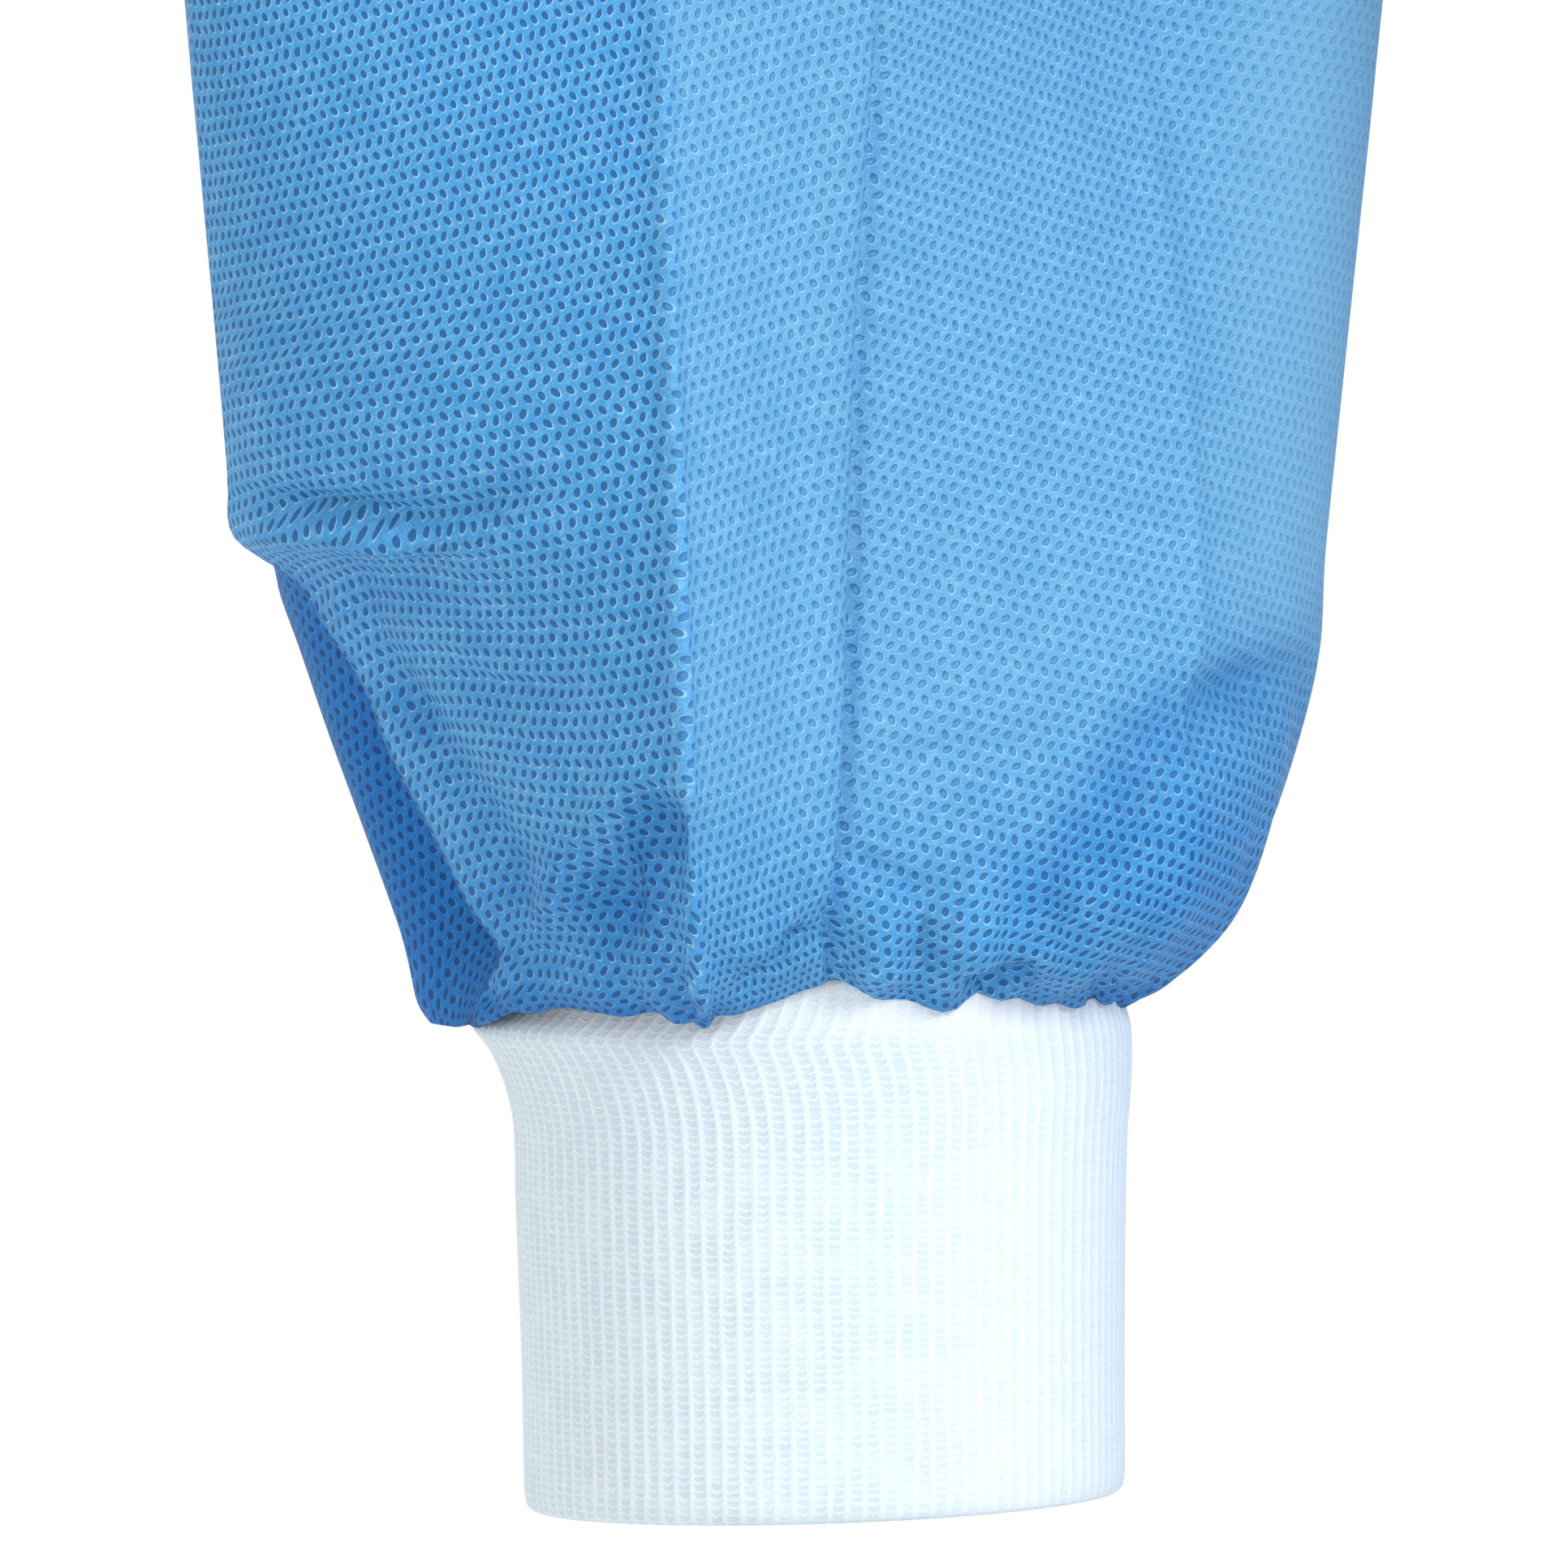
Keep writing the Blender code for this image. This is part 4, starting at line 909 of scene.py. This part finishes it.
# %% Make the cuffs
WALES, WALE_COLUMNS, COURSE, TOP_COURSE = 107, 6, 0.8, 200
KNIT_WALL, CUFF_TOP, CUFF_TILT = 1.4, 54.4, 0.032

# The cuff's outer side by height: its middle and half its width from side to side, and half its depth, in mm
CUFF_FORM = Sizes(
    "height middle half_width depth", (0.0, -4.3, 29.9, 30.2), (1.2, -4.3, 30.3, 30.75), (3.0, -4.3, 30.35, 30.8),
    (15.0, -4.15, 30.45, 30.8), (30.3, -3.9, 30.8, 30.8), (38.0, -3.9, 31.0, 30.7), (41.5, -3.7, 31.5, 30.6),
    (44.0, -3.3, 32.0, 30.6), (46.0, -2.8, 32.5, 30.5), (48.2, -2.0, 33.2, 30.3), (50.2, -2.9, 31.8, 30.0),
    (54.4, -4.0, 30.4, 29.9),
)


def cuff_rows():
    """Each row of the cuff: its height, how far it stands in from the outer side, and how deep its ribs are."""
    bend = KNIT_WALL / 2
    rows = [(height, 0.0, 1.0) for height in np.arange(CUFF_TOP, 1.2, -0.95)]
    for turn in np.linspace(0, math.pi, 7):
        rows.append((bend - bend * math.sin(turn), bend - bend * math.cos(turn), abs(math.cos(turn)) * 0.6))
    rows += [(height, KNIT_WALL, 0.35) for height in np.arange(2.0, CUFF_TOP, 6.0)]
    return rows + [(CUFF_TOP, KNIT_WALL, 0.35), (CUFF_TOP + 0.4, bend, 0.2), (CUFF_TOP, 0.0, 1.0)]


def knit_piece(name, points, profile, wale, centre, shares=None):
    """A knitted piece. Its flat map counts wales, and courses along its profile of heights and insets in mm."""
    travelled = distances(np.array(profile, float))[:, None]
    flat = np.stack(np.broadcast_arrays(wale, TOP_COURSE - travelled / COURSE), -1)
    obj = cloth_piece(name, np.array(points), flat, centre, 0, white_knit, shares)
    obj.data.uv_layers[0].name = "stitches"
    return obj


def make_cuff(name, side):
    angle = np.linspace(0, 2 * math.pi, WALES * WALE_COLUMNS + 1)
    wale = angle / (2 * math.pi) * WALES
    rib = 0.5 + 0.5 * np.cos(2 * math.pi * wale)
    points, stretch_and_painted_shade, fuzz = [], [], []
    for height, inset, relief in cuff_rows():
        middle, half_width, depth = (CUFF_FORM.read(size, height) for size in ("middle", "half_width", "depth"))
        stand = relief * (0.10 * rib**3 - 0.04) - inset
        out = SLEEVE_AXIS_X + (middle + (half_width + stand) * np.cos(angle)) * MM
        tilt = -CUFF_TILT * (half_width * np.cos(angle)) * (1 - ease(height / 30))
        depth = (depth + stand) * np.sin(angle)
        points.append(np.stack((side * out, -depth * MM, CUFF_END_Z + (height + tilt) * MM), -1))
        # The knit opens where it is stretched near the sleeve. The outer side, away from the lamp, gets more gap shade
        # at every height, which is painted shade
        near_sleeve = 0.9 * ease((height - 33) / 10) * (0.75 + 0.25 * np.cos(angle))
        stretch_and_painted_shade.append(near_sleeve + 0.5 * ease(np.cos(angle) * 1.4 - 0.2))
        # The fuzz share: pale fuzz at the top, which is also painted light where the puffs shade the cuff, and painted
        # light on the inner side
        fuzz.append(0.5 * ease((height - 47) / 4) + 0.55 * ease(-np.cos(angle) * 1.5 - 0.25))
    points = np.array(points)
    points[:, -1] = points[:, 0]
    profile = [row[:2] for row in cuff_rows()]
    centre = (side * (SLEEVE_AXIS_X + CUFF_SHIFT * MM), 0, CUFF_END_Z + 0.027)
    shares = {"stretch_and_painted_shade": np.array(stretch_and_painted_shade), "fuzz": np.clip(fuzz, 0, 1)}
    return knit_piece(name, points, profile, wale, centre, shares)


cuff_right = make_cuff("cuff_right_knit", -1)
cuff_left = make_cuff("cuff_left_knit", 1)

# %% [markdown]
# ## The back and the two fronts
# Each panel is cut with a straight hem, a curved armhole and part of the neckline. A plain grid can't follow all of
# these at once, so each panel is a Coons patch: its four edges are drawn first, and every point inside is blended
# from the edges round it. The left front runs a little past the middle and lies over the right one. The columns
# stand close together over that overlap, because its folded edge has to stay straight.

# %% The panels' rows and columns
OVERLAP, OVERLAP_FLAT, OVERLAP_END = 0.025, 0.027, 0.043
HEM_DEPTH, HEM_STITCH = 18.0, 15.5
PLACKET_LIFT = 1.6 * MM


def share_at(x):
    """The share of the way round the body of a place near the middle."""
    widest = BODY.read("half_width", UNDERARM_Z)
    return 2 / math.pi * np.arcsin((x / widest) ** (SQUARENESS / 2))


def panel_columns(side, near, neck, shoulder):
    """Half a panel's columns: each one's share of the way round, and its x at the neck or on the shoulder."""
    start = OVERLAP_END if side == "front" else 0.0
    close = np.linspace(0, start, near + 1)[:-1] if start else np.zeros(0)
    t = np.linspace(0, 1, neck + 1)[:-1]
    first = share_at(start)
    past = np.linspace(0, 1, shoulder + 1)
    share = np.concatenate((share_at(close), first + (0.5 - first) * t, (1 + past) / 2))
    top = np.concatenate((
        close, start + (NECK_HALF_WIDTH - start) * np.sin(t * math.pi / 2),
        NECK_HALF_WIDTH + (SHOULDER_HALF_WIDTH - NECK_HALF_WIDTH) * past,
    ))
    return share, top


def neckline_z(x, side):
    """The neckline's height: where the body's surface meets a neck that is oval from above."""
    oval = NECK_DEPTH[side] * np.sqrt(np.clip(1 - (x / NECK_HALF_WIDTH) ** 2, 0, None))
    z = np.zeros_like(x)
    for _ in range(16):
        full = BODY.read(side, z) * depth_share(x, z)[1]
        drop = SHOULDER_ROUNDING[side] * (1 - np.sqrt(1 - np.minimum(oval / np.maximum(full, 1e-6), 1) ** 2))
        z = (z + shoulder_top(x) - drop) / 2
    return z


def reach_x(share, z):
    return BODY.read("half_width", z) * np.sin(share * math.pi / 2) ** (2 / SQUARENESS)


def panel_row(level, share, top_x, side):
    """The x and z of a row: level 0 is the hem, 1 the underarm and 2 the neckline and the shoulder."""
    if level <= 1:
        z = np.full_like(share, HEM_Z + (UNDERARM_Z - HEM_Z) * level)
        return reach_x(share, z), z
    up = level - 1
    low = np.stack((reach_x(share, UNDERARM_Z), np.full_like(share, UNDERARM_Z)), -1)
    neck = neckline_z(np.minimum(top_x, NECK_HALF_WIDTH), side)
    high = np.stack((top_x, np.where(top_x < NECK_HALF_WIDTH, neck, shoulder_top(top_x))), -1)
    edge = np.array(armhole_xz(up))
    middle = low[0] * (1 - up) + high[0] * up
    share = share[:, None]
    rows = (1 - up) * low + up * high
    columns = (1 - share) * middle + share * edge
    corners = (1 - up) * ((1 - share) * low[0] + share * low[-1]) + up * ((1 - share) * high[0] + share * high[-1])
    place = rows + columns - corners
    return place[:, 0], place[:, 1]


def panel_levels(low, high):
    hem = np.array((0, 3, 6, 9, 12, 14, HEM_STITCH, 17, 19.5, 24)) * MM / (UNDERARM_Z - HEM_Z)
    rising = np.linspace(0, 1, high + 1)
    return np.concatenate((hem, np.linspace(0.062, 1, low + 1)[:-1], 2 - (1 - rising) ** 1.3))


# %% [markdown]
# ## Folds from the pack, and folds from the hanging
# The jacket was folded in three each way, so two upright and two level creases run over its front and back. New
# folds fall from the underarms and from the neck. The cloth's relief is added square to its face: ridges where a
# crease stands up, troughs where it sinks in. The hem is turned up inside and stitched, so a row of small puckers
# follows it.

# %% Creases of the body
def upright(depth, width, out, low, high, bend):
    middle = (low + high) / 2
    bent = ((low + middle) / 2, out + bend), (middle, out + bend / 3), ((middle + high) / 2, out - bend)
    return depth, width, (low, out), *bent, (high, out)


def level_crease(depth, width, height, reach, bend):
    bent = (height + bend, -reach / 2), (height - bend, 0), (height + bend / 2, reach / 2)
    return depth, width, (height, -reach), *bent, (height, reach)


BODY_CREASES = [
    upright(1.1, 2.6, 128, -5, 600, 3.0), upright(-0.7, 5.0, 121, -5, 600, 3.0),
    upright(0.6, 2.4, 62, 20, 560, -3.0), upright(1.1, 2.6, -127, -5, 600, -2.0),
    upright(-0.7, 5.0, -120, -5, 600, -2.0), upright(0.6, 2.4, -64, 20, 560, 3.0),
    level_crease(-1.2, 3.0, 215, 236, 3.0), level_crease(0.8, 2.6, 222, 236, 3.0),
    level_crease(-1.2, 3.0, 450, 236, -3.0), level_crease(0.8, 2.6, 457, 236, -3.0),
    (3.0, 9.0, (500, 232), (470, 200), (420, 176), (340, 168), (240, 172)),
    (-2.4, 8.0, (498, 222), (455, 186), (400, 158), (320, 150)),
    (2.0, 8.0, (560, 214), (530, 176), (500, 146), (450, 132)),
    (3.0, 9.0, (500, -232), (465, -204), (410, -180), (330, -170), (230, -176)),
    (-2.4, 8.0, (500, -222), (450, -184), (390, -160), (310, -152)),
    (2.0, 8.0, (556, -214), (528, -172), (492, -142), (440, -130)),
    (2.2, 9.0, (690, 92), (640, 118), (580, 136), (520, 142)),
    (2.2, 9.0, (690, -92), (640, -114), (585, -134), (530, -144)),
]
HEM_PUCKERS = 2.2


def body_relief(points):
    """How far the body's cloth stands off its form, in millimetres."""
    out, height = points[..., 0] / MM, (points[..., 2] - HEM_Z) / MM
    moved = crease_depth(out, height, BODY_CREASES)
    ripple = np.sin(out * 0.045 + 1.3 * np.sin(height * 0.011)) * np.sin(height * 0.016 + 0.8 * np.sin(out * 0.02))
    puckered = 0.30 + 0.22 * np.sin(out * 0.42 + 2.0 * np.sin(out * 0.05))
    return moved + 0.7 * ripple - puckered * np.exp(-(((height - HEM_STITCH) / HEM_PUCKERS) ** 2))


# %% [markdown]
# ## Making the panels
# The first rows of a panel are the part of the hem that is turned up inside. They run down behind the face, round
# the fold, and on up the face, so the hem is one sheet of cloth as on the real jacket.

# %% Make the back and the fronts
def panel_points(side, share, top_x, low, high, mirrored=1.0):
    """A panel's rows of points. Columns with x below 0 stand at the middle's height."""
    rows = []
    for level in panel_levels(low, high):
        x, z = panel_row(level, np.abs(share), np.abs(top_x), side)
        past_middle = share < 0
        if side == "front":
            x = np.where(past_middle, top_x, x)
            z = np.where(past_middle, z[~past_middle][0], z)
        else:
            x = np.where(past_middle, -x, x)
        rows.append(body_point(mirrored * x, z, side))
    return np.array(rows)


def turned_hem(points, normals):
    """Rows for the part of the hem that is turned up behind the face, and for its fold."""
    first, facing = points[0], normals[0] * np.array((1, 1, 0))
    # Each row's depth behind the face and its height, in millimetres: up behind the face first, then the fold
    rows = [(1.0, height) for height in (HEM_DEPTH, 9.0, 1.2)]
    rows += [(0.5 + 0.5 * math.cos(a), 0.6 - 0.6 * math.sin(a)) for a in (0.5, 1.1, 1.57, 2.1)]
    return np.array([first - facing * depth * MM + np.array((0, 0, height * MM)) for depth, height in rows])


def flat_lengths(points, middle):
    """A panel's flat pattern in millimetres: across from its middle column, and up from its hem."""
    across, up = distances(points, 1) / MM, distances(points).mean(axis=1) / MM
    return np.stack((across - across[:, middle : middle + 1], np.broadcast_to(up[:, None], across.shape)), -1)


SEAM_REACH, SEAM_DEPTH, SEAM_FADE = 3.5 * MM, 0.9 * MM, 8 * MM
SEAM_STEPS = ((0.25, 0.6), (1.0, 1.0))


def seam_allowance(points, normals, share):
    """The rows with two more past the last one, which sink behind the next panel's edge."""
    along = unit(points[-1] - points[-2])
    rows = [
        points[-1] + (along * SEAM_REACH * far - normals[-1] * SEAM_DEPTH * deep) * share[:, None]
        for far, deep in SEAM_STEPS
    ]
    return np.concatenate((points, rows)), np.concatenate((normals, normals[-1:], normals[-1:]))


def with_allowances(points, normals):
    """The back with its seams' allowance at both sides and on the shoulders."""
    below_arm = 0.1 + 0.9 * ease((UNDERARM_Z - points[:, -1, 2]) / SEAM_FADE - 1)
    for _ in range(2):
        turned = seam_allowance(points.swapaxes(0, 1), normals.swapaxes(0, 1), below_arm)
        points, normals = (values.swapaxes(0, 1)[:, ::-1] for values in turned)
    past_neck = 0.1 + 0.9 * ease((np.abs(points[-1, :, 0]) - NECK_HALF_WIDTH) / SEAM_FADE)
    return seam_allowance(points, normals, past_neck)


faces_of_panels = {}


def make_panel(name, side, points, middle, lift=None):
    normals = outward_normals(points, False)
    facing = -1 if side == "front" else 1
    normals = normals * np.sign((normals[..., 1] * facing).sum())
    stand = body_relief(points)
    up, across = np.arange(len(points)), np.arange(points.shape[1])
    sides = np.minimum(across[::-1] / 5, 1.0) * np.minimum(across / 5, 1.0)
    stand = stand * np.minimum(up[::-1] / 6, 1.0)[:, None] * sides * MM
    points = points + normals * (stand if lift is None else stand + lift)[..., None]
    faces_of_panels[name] = points, normals
    if side == "back":
        points, normals = with_allowances(points, normals)
        middle += len(SEAM_STEPS)
    points = np.concatenate((turned_hem(points, normals), points))
    # The body's cloth takes a wavering mix of the shaded and lit colours: painted light and shade
    shares = {"lit_share": 0.72 + 0.20 * np.sin(points[..., 0] * 9.0 + 2.0) * np.cos(points[..., 2] * 7.0)}
    flat = flat_lengths(points, middle)
    return cloth_piece(name, points, flat, (0, 0, -0.4), CLOTH_WALL, blue_cloth, shares)


share, top_x = panel_columns("back", 0, 30, 34)
share, top_x = np.concatenate((-share[:0:-1], share)), np.concatenate((-top_x[:0:-1], top_x))
make_panel("back_cloth", "back", panel_points("back", share, top_x, 74, 42), len(share) // 2)

share, top_x = panel_columns("front", 14, 16, 34)
under = np.linspace(OVERLAP, 0, 9)[:-1]
share, top_x = np.concatenate((-share_at(under), share)), np.concatenate((-under, top_x))
make_panel("front_right_cloth", "front", panel_points("front", share, top_x, 74, 42, -1.0), len(under))
points = panel_points("front", share, top_x, 74, 42)
lift = PLACKET_LIFT * ease((OVERLAP_END - points[..., 0]) / (OVERLAP_END - OVERLAP_FLAT))
make_panel("front_left_cloth", "front", points, len(under), lift)

# %% [markdown]
# ## The collar
# The band is one straight strip of the same rib knit as the cuffs. It is sewn to the neckline along its foot, and
# stands up with a slight lean inwards, so its top edge is a little shorter and the ribs close up there. Its foot
# reaches a little way down behind the body's cloth, as a seam's allowance does.

# %% Make the collar
COLLAR_HEIGHT, COLLAR_LEAN, COLLAR_INSET, COLLAR_LIFT, COLLAR_END = 0.030, 0.004, 1.6 * MM, 1.2 * MM, 3.0 * MM
COLLAR_WALES, COLLAR_ROWS, COLLAR_FOOT = 262, 18, -0.12


def neck_path(count):
    """Points evenly spaced along the neckline, from the right front end round the back to the left front end."""
    turn = np.linspace(0, math.pi / 2, 90)
    front_x = np.maximum(NECK_HALF_WIDTH * np.sin(turn), COLLAR_END)
    front = body_point(front_x, neckline_z(front_x, "front"), "front")
    back_x = NECK_HALF_WIDTH * np.cos(turn)
    behind = body_point(back_x, neckline_z(back_x, "back"), "back")
    half = np.concatenate((front[:-1], behind))
    whole = np.concatenate((half * np.array((-1, 1, 1)), half[::-1][1:]))
    lengths = distances(whole)
    keep = np.concatenate(([True], np.diff(lengths) > 1e-6))
    whole, lengths = whole[keep], lengths[keep]
    even = np.linspace(0, lengths[-1], count)
    return np.stack([np.interp(even, lengths, whole[:, axis]) for axis in range(3)], -1), lengths[-1]


def make_collar():
    foot, length = neck_path(COLLAR_WALES * 4 + 1)
    away = unit(foot * np.array((1, 1, 0)))
    wale = np.linspace(0, COLLAR_WALES, len(foot))
    rib = 0.5 + 0.5 * np.cos(2 * math.pi * wale)
    bend = KNIT_WALL / 2
    steps = [(rise, 0.0, 1.0) for rise in np.linspace(COLLAR_FOOT, 1, COLLAR_ROWS)]
    for a in np.linspace(0.4, math.pi - 0.4, 4):
        steps.append((1.0 + 0.02 * math.sin(a), bend - bend * math.cos(a), 0.5))
    steps += [(rise, KNIT_WALL, 0.5) for rise in np.linspace(1, COLLAR_FOOT, 6)] + [(COLLAR_FOOT, 0.0, 1.0)]
    rows = []
    for rise, inset, relief in steps:
        inward = COLLAR_INSET + COLLAR_LEAN * rise + (inset - relief * (0.28 * rib**3 - 0.10)) * MM
        rows.append(foot - away * inward[:, None] + np.array((0, 0, COLLAR_HEIGHT * rise + COLLAR_LIFT)))
    profile = [(rise * COLLAR_HEIGHT / MM, inset) for rise, inset, _ in steps]
    print("length of the neckline in mm:", round(length / MM))
    return knit_piece("collar_knit", rows, profile, wale, (0, 0, 0))


collar = make_collar()

# %% [markdown]
# ## Machine stitches
# The hem is held by a row of stitches, and the left front's folded edge by two. A stitch is a short thread that
# dips into the cloth at both ends. Each one is a small six-sided spindle, and they stand evenly along a row or
# a column of the panel's own grid, so that they lie on its relief.

# %% Sew the hems and the front edge
STITCH_PITCH, STITCH_LENGTH, STITCH_RADIUS = 3.6 * MM, 2.7 * MM, 0.24 * MM

sewing_thread = Finish("sewing_thread")
ply = sewing_thread.grain(2600.0).step(0.35, 0.65)
thread_blue = sewing_thread.blend(ply, (0.14, 0.40, 0.66, 1.0), (0.30, 0.58, 0.82, 1.0))
sewing_thread.look(ply, 0.04 * MM, colour=thread_blue, roughness=0.6)


def small_piece(name, bm, finish):
    """A small piece that rides on the jacket, from its finished bmesh."""
    mesh = bpy.data.meshes.new(name)
    bm.to_mesh(mesh)
    bm.free()
    mesh.shade_smooth()
    mesh.materials.append(finish.material)
    obj = placed(name, mesh)
    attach(obj, "root")
    return obj


def stitch_row(name, path, facing):
    """Evenly spaced stitches along a path that lies on cloth. Facing is the way the cloth faces at each point."""
    along = distances(path)
    count = int(along[-1] / STITCH_PITCH)
    at = (np.arange(count) + 0.5) * along[-1] / count

    def read(values, places):
        return np.stack([np.interp(places, along, values[:, axis]) for axis in range(3)], -1)

    ahead = unit(read(path, at + MM) - read(path, at - MM))
    bm = bmesh.new()
    for middle, way, up in zip(read(path, at), ahead, unit(read(facing, at))):
        side = Vector(up).cross(Vector(way)).normalized()
        up = Vector(way).cross(side)
        across = side * STITCH_RADIUS, up * STITCH_RADIUS
        lie = Matrix((*across, Vector(way) * STITCH_LENGTH / 2)).transposed().to_4x4()
        lie.translation = Vector(middle) + up * STITCH_RADIUS * 0.4
        bmesh.ops.create_uvsphere(bm, u_segments=6, v_segments=4, radius=1.0, matrix=lie)
    print(name, "stitches:", count)
    return small_piece(name, bm, sewing_thread)


sewn = {}
for name, (points, normals) in faces_of_panels.items():
    heights = (points[:, 0, 2] - HEM_Z) / MM
    level = int(np.argmin(np.abs(heights - HEM_STITCH)))
    sewn[name] = [stitch_row(name.replace("cloth", "hem_stitches"), points[level], normals[level])]
points, normals = faces_of_panels["front_left_cloth"]
for where, column in (("edge", 1), ("fold", 15)):
    name = "front_left_" + where + "_stitches"
    sewn["front_left_cloth"].append(stitch_row(name, points[1:-2, column], normals[1:-2, column]))

# %% [markdown]
# ## Snaps
# A snap's cap is moulded with a low rim and a shallow dish in its middle. Its half profile is drawn from the middle
# to the rim and spun round its axis. The studs behind the cloth are plain, and keep the solid model's shape. Both
# are a white plastic with a faint grain from the mould.

# %% Make the snaps
SNAP_COUNT, SNAP_TOP_Z, SNAP_BOTTOM_Z = 5, -0.130, -0.610
CAP_PROFILE = (
    (0.0, 1.35), (2.4, 1.40), (3.1, 1.55), (3.7, 1.92), (4.5, 2.0), (5.2, 1.78), (5.75, 1.25), (6.0, 0.5), (5.9, 0.0),
    (5.6, -0.3), (0.0, -0.3),
)
CAP_SEAT = 2.1 * MM

snap_plastic = Finish("snap_plastic")
grain, cloud = snap_plastic.grain(1800.0), snap_plastic.grain(160.0)
snap_white = snap_plastic.blend(cloud.step(0.3, 0.7), (0.78, 0.82, 0.84, 1.0), (0.86, 0.89, 0.90, 1.0))
snap_plastic.look(grain, 0.02 * MM, colour=snap_white, roughness=grain * 0.15 + 0.30)


def make_cap(number):
    z = SNAP_TOP_Z + (SNAP_BOTTOM_Z - SNAP_TOP_Z) * number / (SNAP_COUNT - 1)
    below, here, above = (body_point(np.zeros(1), np.full(1, z + step), "front")[0] for step in (-MM, 0, MM))
    up = Vector(above - below).normalized()
    facing = Vector((1, 0, 0)).cross(up).normalized()
    bm = bmesh.new()
    verts = [bm.verts.new((radius * MM, 0, height * MM)) for radius, height in CAP_PROFILE]
    edges = [bm.edges.new(pair) for pair in zip(verts, verts[1:])]
    bmesh.ops.spin(bm, geom=verts + edges, cent=(0, 0, 0), axis=(0, 0, 1), angle=2 * math.pi, steps=40)
    bmesh.ops.remove_doubles(bm, verts=bm.verts[:], dist=MERGE_WITHIN / 2)
    bmesh.ops.recalc_face_normals(bm, faces=bm.faces[:])
    turn = Vector((0, 0, 1)).rotation_difference(facing).to_matrix().to_4x4()
    bmesh.ops.transform(bm, matrix=Matrix.Translation(Vector(here) + facing * CAP_SEAT) @ turn, verts=bm.verts[:])
    obj = small_piece(f"snap_cap_{number + 1}_moulded", bm, snap_plastic)
    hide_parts(f"snap_cap_{number + 1}")
    for slot in bpy.data.objects[f"snap_stud_{number + 1}"].material_slots:
        slot.material = snap_plastic.material


for number in range(SNAP_COUNT):
    make_cap(number)

# %% [markdown]
# ## What each piece was cut to
# A sheet of cloth has a flat cut. The blue pieces' cuts come from their own flat maps, the hem's turned part with
# them, and their sizes are printed. A cuff and the collar are cut shorter than the edge they are sewn to, and are
# stretched to it.

# %% State the cuts
HUNG_FROM = {
    "back_cloth": ["collar_knit"], "front_right_cloth": ["collar_knit", "back_cloth"],
    "front_left_cloth": ["collar_knit", "back_cloth"],
}
for name, (width, length, area) in cuts.items():
    if name.endswith("cloth"):
        print(name, "cut to", round(width, 3), "by", round(length, 3), "m, area", round(area, 4))
for name, rests_on in HUNG_FROM.items():
    width, length, area = cuts[name]
    obj, stitches = bpy.data.objects[name], sewn[name]
for obj, front in ((sleeve_right, "front_right_cloth"), (sleeve_left, "front_left_cloth")):
    width, length, area = cuts[obj.name]

# %% [markdown]
# ## The light, the floor and the camera
# A soft studio: light comes from all round, more of it from the upper right. The floor is a pale disc well below
# the hem. The camera looks at the wrist of the right sleeve, a little from above, from over a metre away, so that
# the tube of the sleeve shows with almost no perspective.

# %% Stage
FLOOR_Z, FLOOR_RADIUS, STUDIO_LIGHT = -0.95, 1.6, 0.92
bm = bmesh.new()
bmesh.ops.create_circle(bm, cap_ends=True, segments=96, radius=FLOOR_RADIUS)
bmesh.ops.translate(bm, verts=bm.verts[:], vec=(0, 0, FLOOR_Z))
floor_mesh = bpy.data.meshes.new("floor")
bm.to_mesh(floor_mesh)
bm.free()
floor = placed("floor", floor_mesh)
floor_paint = Finish("floor_paint")
floor_paint.join_all(floor_paint.shader.inputs, {"Base Color": (0.9, 0.9, 0.9, 1), "Roughness": 0.9})
floor_mesh.materials.append(floor_paint.material)

world = bpy.data.worlds.new("studio")
world.use_nodes = True
background = world.node_tree.nodes["Background"]
background.inputs["Color"].default_value = (1.0, 1.0, 1.0, 1)
path = world.node_tree.nodes.new("ShaderNodeLightPath")
dimming = world.node_tree.nodes.new("ShaderNodeMapRange")
dimming.inputs["To Min"].default_value = STUDIO_LIGHT
world.node_tree.links.new(path.outputs["Is Camera Ray"], dimming.inputs["Value"])
world.node_tree.links.new(dimming.outputs[0], background.inputs["Strength"])
bpy.context.scene.world = world
bpy.context.scene.view_settings.view_transform = "Standard"


def area_light(name, place, target, size, power):
    lamp = bpy.data.lights.new(name, "AREA")
    lamp.shape, lamp.size, lamp.energy = "DISK", size, power
    obj = placed(name, lamp)
    obj.location = place
    obj.rotation_euler = (Vector(target) - Vector(place)).to_track_quat("-Z", "Y").to_euler()


WRIST = (-0.3378, 0.0, -0.6175)
area_light("key", (0.89, -1.22, 0.38), WRIST, 0.7, 20)

CAMERA_DISTANCE, CAMERA_ELEVATION, FRAME_WIDTH, SENSOR_WIDTH = 2.4, math.radians(3.0), 0.1584, 36
camera_data = bpy.data.cameras.new("camera")
camera_data.sensor_width = SENSOR_WIDTH
camera_data.lens = SENSOR_WIDTH * CAMERA_DISTANCE / FRAME_WIDTH
camera = placed("camera", camera_data)
back = Vector((0, -math.cos(CAMERA_ELEVATION), math.sin(CAMERA_ELEVATION)))
camera.location = Vector(WRIST) + back * CAMERA_DISTANCE
camera.rotation_euler = (-back).to_track_quat("-Z", "Y").to_euler()
bpy.context.scene.camera = camera
